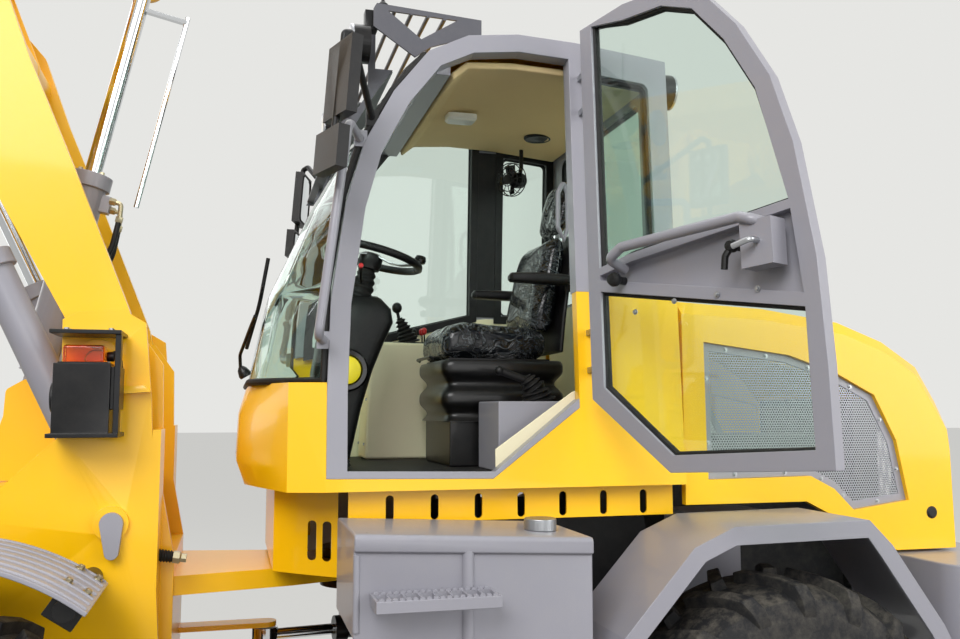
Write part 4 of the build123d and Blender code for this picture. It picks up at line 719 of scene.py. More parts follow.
def repeat_tree() -> GrowthTree:
    """One item copied to each point, at a size."""
    board = growth_board("repeated_item", {"Item": SocketKind.ITEM, "Size": SocketKind.PLACE})
    given = board.add("NodeGroupInput").outputs
    item = board.add("GeometryNodeObjectInfo", {"Object": given["Item"]}).outputs["Geometry"]
    values = {"Points": given["Geometry"], "Instance": item, "Scale": given["Size"]}
    copies = board.add("GeometryNodeInstanceOnPoints", values).outputs[0]
    return finished(board, copies, given["Finish"])


def turning_tree() -> GrowthTree:
    """One item copied around an axle that runs along Y."""
    inputs = {"Item": SocketKind.ITEM, "Count": SocketKind.COUNT, "Start": SocketKind.VALUE,
              "Centre": SocketKind.PLACE}
    board = growth_board("copies_round_axle", inputs)
    given = board.add("NodeGroupInput").outputs
    item = board.add("GeometryNodeObjectInfo", {"Object": given["Item"]}).outputs["Geometry"]
    line = board.add("GeometryNodeMeshLine",
                     {"Count": given["Count"], "Start Location": given["Centre"], "Offset": (0.0, 0.0, 0.0)})
    step = board.maths("DIVIDE", 2 * math.pi, given["Count"])
    index = board.add("GeometryNodeInputIndex").outputs[0]
    angle = board.maths("ADD", board.maths("MULTIPLY", index, step), given["Start"])
    euler = board.add("ShaderNodeCombineXYZ", {"Y": angle}).outputs[0]
    turn = board.add("FunctionNodeEulerToRotation", {0: euler}).outputs[0]
    values = {"Points": line.outputs[0], "Instance": item, "Rotation": turn}
    copies = board.add("GeometryNodeInstanceOnPoints", values).outputs[0]
    return finished(board, copies, given["Finish"])


def ripple_tree() -> GrowthTree:
    """A folded boot or ribbed hose along a line, its radius running from one size to another."""
    names = ("Start Radius", "End Radius", "Ripple", "Folds")
    board = growth_board("rippled_boot", {name: SocketKind.VALUE for name in names})
    given = board.add("NodeGroupInput").outputs
    curve = board.add("GeometryNodeMeshToCurve", {"Mesh": given["Geometry"]}).outputs[0]
    dense = board.add("GeometryNodeResampleCurve", {"Curve": curve, "Count": 97}).outputs[0]
    share = board.add("GeometryNodeSplineParameter").outputs["Factor"]
    taper = board.add("ShaderNodeMapRange",
                      {"Value": share, "To Min": given["Start Radius"],
                       "To Max": given["End Radius"]}).outputs[0]
    wave = board.maths("SINE",
                       board.maths("MULTIPLY", board.maths("MULTIPLY", share, given["Folds"]), 2 * math.pi))
    size = board.maths("ADD", taper, board.maths("MULTIPLY", wave, given["Ripple"]))
    circle = board.add("GeometryNodeCurvePrimitiveCircle", {"Resolution": 24, "Radius": 1.0}).outputs[0]
    skin = board.add("GeometryNodeCurveToMesh",
                     {"Curve": dense, "Profile Curve": circle, "Scale": size, "Fill Caps": True}).outputs[0]
    smooth = board.add("GeometryNodeSetShadeSmooth", {"Geometry": skin}).outputs[0]
    return finished(board, smooth, given["Finish"])


BOLTS = bolt_tree()
REPEATS = repeat_tree()
TURNS = turning_tree()
RIPPLES = ripple_tree()


def bolt_heads(name: str, body: str, points: Sequence[Place], aims: Sequence[Place], width: float,
               finish: Finish = BOLT) -> None:
    """Sets hexagon heads on washers.

    Args:
        name: The piece's name.
        body: The body that holds them.
        points: Where each washer sits.
        aims: The way that each head faces.
        width: Width across the flats in metres.
        finish: The bolts' finish.
    """
    values = {"Width": width, "Height": width * 0.55, "Washer": width * 0.85, "Finish": finish.build()}
    show(BOLTS.grow(name, points_object(points, aims), values), body, finish)


def boot(name: str, body: str, path: Sequence[Place], start: float, end: float, ripple: float, folds: float,
         finish: Finish) -> None:
    """Sets a folded boot or ribbed hose along a path.

    Args:
        name: The piece's name.
        body: The body that holds it.
        path: Points of its middle line.
        start: Radius at the first point.
        end: Radius at the last point.
        ripple: Height of each fold.
        folds: Number of folds.
        finish: Its finish.
    """
    mesh = bpy.data.meshes.new("boot_line")
    mesh.from_pydata([tuple(p) for p in path], [(i, i + 1) for i in range(len(path) - 1)], [])
    base = placed("boot_line", mesh)
    values = {"Start Radius": start, "End Radius": end, "Ripple": ripple, "Folds": folds,
              "Finish": finish.build()}
    show(RIPPLES.grow(name, base, values), body, finish)


@dataclass(frozen=True)
class Carried:
    """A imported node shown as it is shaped, with rounded edges and a finish."""

    node: str
    finish: Finish | ClearFinish
    edge: float = 0.0


CARRIED = (
    Carried("boom_arms", YELLOW, 0.004), Carried("bucket", YELLOW, 0.003), Carried("bucket_shafts", BOLT,
                                                                                   0.002),
    Carried("cab_floor", RUBBER, 0.002), Carried("cab_frame", GREY, 0.004),
    Carried("cab_lower_shell", YELLOW, 0.005), Carried("cab_roof", YELLOW, 0.01), Carried("cab_skirts",
                                                                                          YELLOW, 0.002),
    Carried("ceiling_liner", LINER, 0.008), Carried("counterweight", GREY, 0.012), Carried("door_frame", GREY,
                                                                                           0.003),
    Carried("door_handle", GREY, 0.003), Carried("door_hinges", BOLT, 0.002), Carried("engine_block", DARK,
                                                                                      0.006),
    Carried("filler_caps", BOLT, 0.003), Carried("front_axle", BLACK_PAINT, 0.005), Carried("front_frame",
                                                                                            YELLOW, 0.003),
    Carried("front_mudguards", GREY, 0.003), Carried("handrails", GREY), Carried("hood_hinges", BOLT, 0.002),
    Carried("hood_shell", YELLOW, 0.006), Carried("lever_shaft", BOLT, 0.002), Carried("lift_barrels", GREY,
                                                                                       0.003),
    Carried("lift_rods", CHROME, 0.002), Carried("link_shaft", BOLT, 0.002), Carried("mirrors", PLASTIC,
                                                                                     0.014),
    Carried("mudguard_tubes", BLACK_PAINT, 0.001), Carried("rear_axle", BLACK_PAINT, 0.005), Carried("rear_fenders",
                                                                                                     GREY,
                                                                                                     0.004),
    Carried("rear_frame", BLACK_PAINT, 0.004), Carried("roof_guard", DARK_GREY, 0.001),
    Carried("side_steps", GREY, 0.002), Carried("side_tanks", GREY, 0.006), Carried("steer_barrel_left",
                                                                                    BLACK_PAINT, 0.002),
    Carried("steer_barrel_right", BLACK_PAINT, 0.002), Carried("steer_rod_left", CHROME, 0.001),
    Carried("steer_rod_right", CHROME, 0.001), Carried("tilt_barrel", GREY, 0.003),
    Carried("tilt_lever", YELLOW, 0.003), Carried("tilt_link", YELLOW, 0.003), Carried("tilt_rod", CHROME,
                                                                                       0.002),
    Carried("tower_lamps", BLACK_PAINT, 0.002), Carried("work_lamps", BLACK_PAINT, 0.004),
    Carried("cab_glass", GLASS), Carried("door_glass", GLASS),
)


def merged_mesh(node: str) -> bpy.types.Mesh:
    """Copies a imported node's mesh with its triangles joined and its flat faces whole."""
    bm = bmesh.new()
    bm.from_mesh(frame["nodes"][node].data)
    bmesh.ops.remove_doubles(bm, verts=bm.verts, dist=2e-5)
    bmesh.ops.dissolve_limit(bm, angle_limit=math.radians(0.6), verts=bm.verts, edges=bm.edges)
    mesh = bpy.data.meshes.new(node + "_shown")
    bm.to_mesh(mesh)
    bm.free()
    return mesh


class CarriedPieces:
    """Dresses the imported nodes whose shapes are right."""

    def build(self) -> None:
        """Makes one finished piece for each carried node."""
        groups = frame["record"]["behaviour"]["bodies"]
        body_of = {node: body for body, nodes in groups.items() for node in nodes}
        for entry in CARRIED:
            mesh = merged_mesh(entry.node)
            mesh.materials.clear()
            made = placed(entry.node + "_shown", mesh)
            soften(made, entry.edge)
            show(made, body_of[entry.node], entry.finish, [entry.node])


@dataclass
class Wheel:
    """One wheel: a lugged tyre, a dished rim and its nuts."""

    name: str
    body: str
    x: float
    y: float
    z: float = 0.537
    radius: float = 0.536
    width: float = 0.398
    bead: float = 0.2503
    lugs: int = 18
    lug_height: float = 0.034
    nuts: int = 8

    def _lug(self, hand: int) -> bpy.types.Object:
        """One lug from the tyre's middle to its shoulder, at the wheel's own centre."""
        top, low = self.radius, self.radius - self.lug_height - 0.012
        half = self.width / 2
        stations = [
            (-0.012, 0.0, top, low, 0.058), (0.055, 3.0, top - 0.001, low, 0.054), (0.115, 6.5, top - 0.006,
                                                                                    low - 0.004, 0.05),
            (half - 0.022, 9.6, top - 0.022, low - 0.02, 0.052), (half - 0.001, 11.0, top - 0.06, low - 0.05,
                                                                  0.056),
            (half - 0.002, 12.2, top - 0.105, low - 0.1, 0.05),
        ]
        shape = Shape()
        rings = []
        for y, degrees_on, outer, inner, wide in stations:
            angle = math.radians(degrees_on)
            outwards = Vector((math.sin(angle), 0.0, math.cos(angle)))
            along = Vector((math.cos(angle), 0.0, -math.sin(angle)))
            centre = Vector((0.0, hand * y, 0.0))
            inset = 0.02 if y > half - 0.01 else 0.0
            deep = Vector((0.0, -hand * inset, 0.0))
            ring = [centre + outwards * inner - along * wide / 2 + deep,
                    centre + outwards * inner + along * wide / 2 + deep]
            ring += [centre + outwards * outer + along * wide * 0.39,
                     centre + outwards * outer - along * wide * 0.39]
            rings.append(ring if hand > 0 else ring[::-1])
        shape.rings(rings)
        return shape.object("lug_item")

    def build(self) -> None:
        """Makes the tyre, rim and nuts."""
        hub = Matrix.Translation((self.x, self.y, self.z)) @ Matrix.Rotation(math.radians(-90), 4, "X")
        half, inner = self.width / 2, self.radius - self.lug_height
        side = [
            (self.bead, -half + 0.05), (self.bead + 0.02, -half + 0.012), (0.3, -half + 0.004), (0.306,
                                                                                                 -half + 0.001),
            (0.316, -half + 0.001), (0.322, -half + 0.005), (0.39, -half + 0.001), (0.43, -half + 0.006),
            (inner - 0.03, -half + 0.02), (inner - 0.012, -half + 0.05), (inner, -0.1), (inner + 0.003,
                                                                                         -0.04),
        ]
        profile = side + [(r, -h) for r, h in reversed(side)]
        shape = Shape().lathe(profile, hub, 96, closed=True)
        carcass = shape.object(self.name + "_carcass")
        centre = (self.x, self.y, self.z)
        parts = [carcass]
        for hand, start in ((1, 0.0), (-1, math.pi / self.lugs)):
            item = self._lug(hand)
            base = points_object([centre])
            values = {"Item": item, "Count": self.lugs, "Start": start, "Centre": centre,
                      "Finish": TYRE.build()}
            parts.append(TURNS.grow(self.name + "_lugs", base, values))
            bpy.data.objects.remove(item)
        joined = join_meshes(self.name + "_tyre_shown", parts)
        soften(joined, 0.003, 2, 40)
        show(joined, self.body, TYRE, [self.name + "_tyre"])
        self._rim(hub)

    def _rim(self, hub: Matrix) -> None:
        """Makes the dished rim and its wheel nuts."""
        out = 1 if self.y > 0 else -1
        turn = hub if out > 0 else hub @ Matrix.Rotation(math.pi, 4, "X")
        lip = 0.188
        profile = [
            (0.02, 0.062), (0.07, 0.062), (0.074, 0.056), (0.118, 0.052), (0.125, 0.03), (0.17, 0.026), (0.196,
                                                                                                         0.05),
            (0.214, 0.12), (0.222, lip - 0.028), (0.238, lip - 0.012), (0.262, lip - 0.006), (0.267, lip), (0.262,
                                                                                                            lip + 0.003),
            (0.25, lip - 0.002), (0.2475, 0.12), (0.2475, -0.15), (0.2475, -lip + 0.004), (0.262,
                                                                                           -lip + 0.001),
            (0.262, -lip + 0.006), (0.236, -lip + 0.01), (0.226, -0.1), (0.2, -0.02), (0.1, -0.002), (0.02,
                                                                                                      -0.002),
        ]
        Shape().lathe(profile, turn, 64).piece(self.name + "_rim_shown", self.body, GREY, 0.0015,
                                               [self.name + "_rim"])
        places = [turn @ Vector((u, v, 0.028)) for u, v in circle(0.147, self.nuts, math.pi / self.nuts)]
        bolt_heads(self.name + "_wheel_nuts", self.body, places, [(0.0, float(out), 0.0)] * self.nuts, 0.026)


def join_meshes(name: str, parts: Sequence[bpy.types.Object]) -> bpy.types.Object:
    """Joins several mesh objects into one new object and removes them.

    Args:
        name: The new object's name.
        parts: Objects at the origin.

    Returns:
        The joined object, with the materials taken off.
    """
    bm = bmesh.new()
    for part in parts:
        bm.from_mesh(part.data)
        bpy.data.objects.remove(part)
    mesh = bpy.data.meshes.new(name)
    bm.to_mesh(mesh)
    bm.free()
    for polygon in mesh.polygons:
        polygon.material_index = 0
    return placed(name, mesh)


def inside(point: Flat, outline: Sequence[Flat]) -> bool:
    """Whether a flat point lies inside a flat outline."""
    hit = False
    for (x1, y1), (x2, y2) in zip(outline, list(outline[1:]) + [outline[0]]):
        if (y1 > point[1]) != (y2 > point[1]) and point[0] < (x2 - x1) * (point[1] - y1) / (y2 - y1) + x1:
            hit = not hit
    return hit


def edge_distance(point: Flat, outline: Sequence[Flat]) -> float:
    """Shortest distance from a flat point to an outline's edges."""
    here = Vector(point)
    nearest = 1e9
    for first, second in zip(outline, list(outline[1:]) + [outline[0]]):
        a, b = Vector(first), Vector(second)
        share = max(0.0, min(1.0, (here - a).dot(b - a) / (b - a).length_squared))
        nearest = min(nearest, (here - a.lerp(b, share)).length)
    return nearest


def inset(outline: Sequence[Flat], distance: float) -> list[Flat]:
    """Moves an outline's edges inwards by a distance.

    Args:
        outline: Corner points in order.
        distance: Shift in metres.

    Returns:
        The new corner points.
    """
    count = len(outline)
    area = sum(outline[i][0] * outline[(i + 1) % count][1] - outline[(i + 1) % count][0] * outline[i][1] for i in range(count))
    sign = 1.0 if area > 0 else -1.0
    made = []
    for index in range(count):
        before, here, after = (Vector(outline[(index + k) % count]) for k in (-1, 0, 1))
        first, second = (here - before).normalized(), (after - here).normalized()
        left = Vector((-first.y, first.x)) * sign
        right = Vector((-second.y, second.x)) * sign
        middle = (left + right).normalized()
        made.append(tuple(here + middle * (distance / max(0.35, middle.dot(left)))))
    return made


CAB_LEAN = math.radians(3.6)
CAB_HALF = 0.64
SILL = 1.38


def side_plane(y: float) -> Matrix:
    """Upright plane across the machine: its X is the machine's X, its Y points up and its Z to the left."""
    return Matrix.Translation((0.0, y, 0.0)) @ Matrix.Rotation(math.radians(90), 4, "X")


def cab_wall_plane(depth: float) -> Matrix:
    """Plane of the leaning left cab wall, a depth inside its outer face, with its Y measured from the ground."""
    lift = Matrix.Translation((0.0, -SILL, 0.0))
    lean = Matrix.Rotation(math.radians(90) - CAB_LEAN, 4, "X")
    return Matrix.Translation((0.0, -CAB_HALF, SILL)) @ lean @ Matrix.Translation((0.0, 0.0, -depth)) @ lift


def door_plane() -> Matrix:
    """Maps the door as drawn shut, with x, y outwards and z from the ground, to the place where it stands open."""
    hinge = Matrix.Translation((0.668, -0.052, 0.0))
    swing = hinge @ Matrix.Rotation(math.radians(112), 4, "Z") @ hinge.inverted()
    lean = Matrix.Translation((0.0, -CAB_HALF, SILL)) @ Matrix.Rotation(-CAB_LEAN, 4,
                                                                        "X") @ Matrix.Translation((0.0, 0.0,
                                                                                                   -SILL))
    return lean @ swing


def mirrored(mesh: bpy.types.Mesh) -> None:
    """Adds a mesh's mirror image on the machine's other side."""
    shape = Shape()
    shape.bm.from_mesh(mesh)
    shape.both().bm.to_mesh(mesh)
    shape.bm.free()


def oblong(centre: Vector, half_u: float, half_v: float, u: Vector, v: Vector,
           corner: float = 0.35) -> list[Vector]:
    """Rounded oblong section round a centre, its sides along two directions.

    Args:
        centre: The section's middle.
        half_u: Half its size along the first direction.
        half_v: Half its size along the second direction.
        u: First direction.
        v: Second direction.
        corner: Squareness of the corners, from 0, square, to 1, an oval.

    Returns:
        The section's points in order.
    """
    ring = []
    for index in range(24):
        angle = 2 * math.pi * index / 24
        c, s = math.cos(angle), math.sin(angle)
        ring.append(centre + u * math.copysign(abs(c) ** corner,
                                               c) * half_u + v * math.copysign(abs(s) ** corner, s) * half_v)
    return ring


def hoop(shape: Shape, outline: Sequence[Flat], width: float, base: Matrix, depth: float,
         lift: float = 0.0) -> Shape:
    """Adds a flat frame that follows an outline.

    Args:
        shape: The shape to add to.
        outline: Outer corner points.
        width: Width of the frame.
        base: Plane of the outline.
        depth: Thickness along the plane's Z.
        lift: Start of the thickness along the plane's Z.

    Returns:
        The same shape.
    """
    inner = inset(outline, width)
    rings = []
    for line, height in ((outline, lift), (outline, lift + depth), (inner, lift + depth), (inner, lift)):
        rings.append([base @ Vector((u, v, height)) for u, v in line])
    return shape.rings(rings, closed=True)


@dataclass
class GlassSeals:
    """Black rubber channels that hold the panes."""

    radius: float = 0.011
    smallest_pane: float = 0.03
    bend: float = math.radians(33)

    def _borders(self, node: str) -> list[list[Vector]]:
        """Border loops of the panes' large faces.

        Args:
            node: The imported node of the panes.

        Returns:
            One closed list of points for each border.
        """
        bm = bmesh.new()
        bm.from_mesh(merged_mesh(node))
        bm.normal_update()
        left = set(bm.faces)
        loops = []
        while left:
            region, front = set(), [left.pop()]
            while front:
                face = front.pop()
                region.add(face)
                for edge in face.edges:
                    for other in edge.link_faces:
                        if other in left and face.normal.angle(other.normal) < self.bend:
                            left.discard(other)
                            front.append(other)
            if sum(face.calc_area() for face in region) < self.smallest_pane:
                continue
            border = {}
            for face in region:
                for loop in face.loops:
                    if not any(other in region for other in loop.edge.link_faces if other is not face):
                        border[loop.vert] = loop.link_loop_next.vert
            while border:
                start, here = border.popitem()
                line = [start.co.copy()]
                while here in border:
                    line.append(here.co.copy())
                    here = border.pop(here)
                if len(line) > 2:
                    loops.append(line)
        bm.free()
        return loops

    def build(self) -> None:
        """Makes the seals of the cab's panes and of the door's."""
        for node, body in (("cab_glass", "rear"), ("door_glass", "door")):
            shape = Shape()
            for line in self._borders(node):
                dense = []
                for first, second in zip(line, line[1:] + line[:1]):
                    if (second - first).length > 4e-3:
                        dense.append(first)
                shape.tube(dense, self.radius, 8, closed=True)
            shape.piece(node + "_seals", body, RUBBER)


@dataclass
class HoodGrilles:
    """Punched sheets in the hood's openings, with their frames and screws."""

    y: float = 0.591
    pitch: float = 0.0094
    hole: float = 0.0033
    rim: float = 0.026
    depth: float = 0.008
    side: tuple[Flat, ...] = (
        (1.084, 1.33), (1.47, 1.335), (1.56, 1.29), (1.634, 1.217), (1.858, 1.245), (1.815, 1.453), (1.733,
                                                                                                     1.61),
        (1.575, 1.689), (1.4, 1.745), (1.079, 1.784),
    )
    rear: tuple[Flat, ...] = ((-0.35, 1.13), (0.35, 1.13), (0.35, 1.5), (-0.35, 1.5))
    rear_x: float = 2.014

    def _cell(self, turn: Matrix) -> bpy.types.Object:
        """One hexagon of sheet with its hole."""
        shape = Shape()
        rings = []
        for radius in (self.pitch / math.sqrt(3), self.hole):
            rings.append([turn @ Vector((u, v, 0.0)) for u, v in circle(radius, 6, math.pi / 6)])
        return shape.rings(rings, capped=False).object("sheet_cell")

    def _sheet(self, name: str, outline: Sequence[Flat], base: Matrix) -> bpy.types.Object:
        """Perforated sheet inside an outline on a plane."""
        us, vs = [p[0] for p in outline], [p[1] for p in outline]
        row = self.pitch * math.sqrt(3) / 2
        points = []
        for j in range(int((max(vs) - min(vs)) / row) + 1):
            for i in range(int((max(us) - min(us)) / self.pitch) + 1):
                spot = (min(us) + (i + 0.5 * (j % 2)) * self.pitch, min(vs) + j * row)
                if inside(spot, outline) and edge_distance(spot, outline) > self.rim * 0.7:
                    points.append(tuple(base @ Vector((*spot, 0.0))))
        turn = base.to_3x3().to_4x4()
        item = self._cell(turn)
        values = {"Item": item, "Size": (1.0, 1.0, 1.0), "Finish": MESH.build()}
        made = REPEATS.grow(name, points_object(points), values)
        bpy.data.objects.remove(item)
        return made

    def _screws(self, outline: Sequence[Flat], base: Matrix) -> list[Vector]:
        """Places of the screws along a frame."""
        line = inset(outline, self.rim / 2)
        places = []
        for first, second in zip(line, line[1:] + line[:1]):
            a, b = Vector(first), Vector(second)
            count = max(1, round((b - a).length / 0.2))
            places += [base @ Vector((*a.lerp(b, (k + 0.5) / count), 0.0)) for k in range(count)]
        return places

    def build(self) -> None:
        """Makes both side grilles and the rear one."""
        plane = side_plane(-self.y + 0.004)
        sheet = self._sheet("hood_side_sheets", self.side, plane)
        mirrored(sheet.data)
        rear_plane = Matrix.Translation((self.rear_x, 0.0, 0.0)) @ Matrix(((0, 0, 1, 0), (1, 0, 0, 0),
                                                                           (0, 1, 0, 0), (0, 0, 0, 1)))
        rear_sheet = self._sheet("hood_rear_sheet", self.rear, rear_plane)
        show(sheet, "hood", MESH, ["hood_grilles"])
        show(rear_sheet, "hood", MESH)
        frames = Shape()
        hoop(frames, self.side, self.rim, plane, self.depth, -0.006)
        frames.both()
        hoop(frames, self.rear, self.rim, rear_plane, self.depth, -0.002)
        frames.piece("grille_frames", "hood", GREY, 0.0015)
        places = self._screws(self.side, side_plane(-self.y + 0.002))
        places += [Vector((p.x, -p.y, p.z)) for p in places]
        aims = [(0.0, 1.0 if p.y > 0 else -1.0, 0.0) for p in places]
        bolt_heads("grille_screws", "hood", places, aims, 0.009)


@dataclass
class Seat:
    """Padded operator's seat under its clear transport film."""

    x: float = 0.5
    half: float = 0.24
    low: float = 1.735
    top: float = 1.868
    front: float = 0.256
    cap: float = 0.014
    fold_steps: int = 40
    fold_depth: float = 0.026
    fold_sharpness: float = 1.7
    fold_reach: float = 0.23
    folds_low: float = 1.516
    folds_tall: float = 0.219

    def _pad(self, name: str, rings: Sequence[Sequence[Vector]], swell: float,
             voxel: float = 0.009) -> bpy.types.Object:
        """Makes one padded form: a closed skin that air pressure has filled.

        Args:
            name: The piece's name.
            rings: Sections of the pad's foam, in order.
            swell: Most that any point may move, in metres.
            voxel: Size of the remeshing grid in metres.

        Returns:
            The pad's object.
        """
        start = Shape().rings(rings).object(name)
        grid = start.modifiers.new("even_grid", "REMESH")
        grid.mode = "VOXEL"
        grid.voxel_size = voxel
        start.modifiers.new("rounding", "SMOOTH").iterations = 6
        graph = bpy.context.evaluated_depsgraph_get()
        mesh = bpy.data.meshes.new_from_object(start.evaluated_get(graph))
        bpy.data.objects.remove(start)
        made = placed(name, mesh)
        before = [vert.co.copy() for vert in mesh.vertices]
        cloth = made.modifiers.new("air_pressure", "CLOTH")
        cloth.settings.use_pressure = True
        cloth.settings.uniform_pressure_force = 4.0
        cloth.settings.effector_weights.gravity = 0.0
        cloth.settings.quality = 4
        cloth.point_cache.frame_start = 1
        cloth.point_cache.frame_end = 20
        for number in range(1, 21):
            bpy.context.scene.frame_set(number)
        graph = bpy.context.evaluated_depsgraph_get()
        swollen = bpy.data.meshes.new_from_object(made.evaluated_get(graph))
        made.modifiers.remove(cloth)
        for vert, old, new in zip(mesh.vertices, before, swollen.vertices):
            move = new.co - old
            vert.co = old + move.normalized() * min(move.length, swell)
        bpy.data.meshes.remove(swollen)
        bpy.context.scene.frame_set(1)
        mesh.shade_smooth()
        finer = made.modifiers.new("finer", "SUBSURF")
        finer.levels = 1
        finer.render_levels = 1
        graph = bpy.context.evaluated_depsgraph_get()
        smooth = bpy.data.meshes.new_from_object(made.evaluated_get(graph))
        bpy.data.objects.remove(made)
        return placed(name, smooth)

    def _pads(self) -> None:
        """Makes the padded cushion, back and head rest."""
        across, up = Vector((0.0, 1.0, 0.0)), Vector((0.0, 0.0, 1.0))
        gap = self.cap
        middle = (self.low + self.top) / 2
        rows = (
            (self.front + gap, 0.8, 0.62, -0.012), (self.front + 0.03, 0.95, 0.88, -0.004), (self.front + 0.1,
                                                                                             1.0, 1.0, 0.004),
            (0.46, 1.0, 0.96, -0.002), (0.6, 0.99, 0.92, -0.006), (0.668, 0.92, 0.8, -0.006),
        )
        cushion = []
        for x, wide, thick, lift in rows:
            height = (self.top - self.low) / 2 - 0.01
            cushion.append(oblong(Vector((x, 0.0, middle + lift)), (self.half - gap) * wide, height * thick,
                                  across, up))
        seat = self._pad("seat_cushion", cushion, self.cap)
        self._channels(seat.data, 0.335, 0.59)
        back_rows = (
            ((0.652, 1.84), 0.2, 0.03), ((0.662, 1.9), 0.205, 0.042), ((0.69, 2.04), 0.208, 0.04), ((0.716,
                                                                                                     2.16),
                                                                                                    0.2,
                                                                                                    0.036),
            ((0.731, 2.205), 0.17, 0.024),
        )
        back = self._pad("seat_back", self._upright(back_rows), 0.012)
        head_rows = (
            ((0.757, 2.235), 0.09, 0.018), ((0.763, 2.26), 0.118, 0.03), ((0.782, 2.34), 0.124, 0.034), ((0.799,
                                                                                                          2.42),
                                                                                                         0.11,
                                                                                                         0.026),
            ((0.803, 2.44), 0.08, 0.014),
        )
        head = self._pad("seat_head_rest", self._upright(head_rows), 0.008)
        show(seat, "rear", SEAT, ["seat_cushions"])
        for pad in (back, head):
            show(pad, "rear", SEAT)

    def _shell(self) -> None:
        """Makes the back's shell, the head rest's posts, the arm rests and the grab loop."""
        across, up = Vector((0.0, 1.0, 0.0)), Vector((0.0, 0.0, 1.0))
        shell_rows = (
            ((0.722, 1.77), 0.2, 0.014), ((0.73, 1.9), 0.216, 0.014), ((0.75, 2.04), 0.216, 0.013), ((0.783,
                                                                                                      2.19),
                                                                                                     0.2,
                                                                                                     0.012),
            ((0.79, 2.215), 0.15, 0.008),
        )
        Shape().rings(self._upright(shell_rows)).piece("seat_back_shell", "rear", PLASTIC, 0.004)
        posts = Shape()
        posts.tube([(0.768, 0.05, 2.16), (0.786, 0.05, 2.25), (0.8, 0.05, 2.3)], 0.006, 10)
        posts.both().piece("head_rest_posts", "rear", CHROME)
        arms = Shape()
        for hand in (-1, 1):
            ring = [
                oblong(Vector((x, hand * 0.262, z)), wide, thick, across, up, 0.6)
                for x, z, wide, thick in (
                    (0.502, 2.026, 0.012, 0.008), (0.512, 2.028, 0.026, 0.017), (0.6, 2.028, 0.031, 0.02), (0.7,
                                                                                                            2.026,
                                                                                                            0.03,
                                                                                                            0.02),
                    (0.738, 2.026, 0.024, 0.016), (0.748, 2.026, 0.01, 0.008),
                )
            ]
            arms.rings(ring)
            arms.tube([(0.735, hand * 0.235, 1.99), (0.735, hand * 0.25, 2.02)], 0.012, 12)
        arms.piece("seat_arm_rests", "rear", PLASTIC)
        grab = Shape().tube(
            [(0.735, -0.2, 2.185), (0.71, -0.205, 2.23), (0.712, -0.205, 2.36), (0.735, -0.2, 2.405),
             (0.75, -0.2, 2.36), (0.752, -0.2, 2.23)],
            0.009, 12, 0.02, closed=True,
        )
        grab.piece("seat_grab_loop", "rear", LIGHT_GREY)

    def _base(self) -> None:
        """Makes the box and the folded bellows under the cushion, and its runners."""
        along, across = Vector((1.0, 0.0, 0.0)), Vector((0.0, 1.0, 0.0))
        base = Shape().box((0.302, -0.208, 1.362), (0.718, 0.208, 1.52))
        sections = []
        for index in range(self.fold_steps + 1):
            share = index / self.fold_steps
            pinch = self.fold_depth * (0.5 + 0.5 * math.cos(4 * math.pi * (share - 0.125))) ** self.fold_sharpness
            reach = self.fold_reach - pinch
            centre = Vector((self.x, 0.0, self.folds_low + self.folds_tall * share))
            sections.append(oblong(centre, reach, reach, along, across, 0.16))
        base.rings(sections)
        base.piece("seat_bellows", "rear", BELLOWS, 0.004, ["seat_base"])
        runners = Shape()
        for hand in (-1, 1):
            runners.box((0.3, hand * 0.17 - 0.018, 1.728), (0.68, hand * 0.17 + 0.018, 1.742))
        runners.tube([(0.262, -0.12, 1.742), (0.25, -0.12, 1.748), (0.25, 0.12, 1.748), (0.262, 0.12, 1.742)],
                     0.006, 8, 0.01)
        runners.piece("seat_runners", "rear", BLACK_PAINT, 0.002)

    def build(self) -> None:
        """Makes the whole seat."""
        self._pads()
        self._shell()
        self._base()

    def _upright(self, rows: Sequence[tuple[Flat, float, float]]) -> list[list[Vector]]:
        """Sections of a leaning pad from its middle points, half widths and half depths."""
        across, lean = Vector((0.0, 1.0, 0.0)), Vector((0.975, 0.0, -0.22)).normalized()
        return [oblong(Vector((x, 0.0, z)), wide, deep, across, lean, 0.5) for (x, z), wide, deep in rows]

    @staticmethod
    def _channels(mesh: bpy.types.Mesh, front: float, rear: float) -> None:
        """Presses the sewn channels into the top of the cushion.

        Args:
            mesh: The cushion's mesh.
            front: Front end of the channels.
            rear: Rear end of the channels.
        """
        for vert in mesh.vertices:
            if vert.co.z < 1.8:
                continue
            for y in (-0.13, 0.13):
                near = math.exp(-(((vert.co.y - y) / 0.009) ** 2))
                if front - 0.06 < vert.co.x < rear + 0.05:
                    vert.co.z -= 0.012 * near
            for x in (front, (front + rear) / 2, rear):
                near = math.exp(-(((vert.co.x - x) / 0.009) ** 2))
                if abs(vert.co.y) < 0.13:
                    vert.co.z -= 0.009 * near


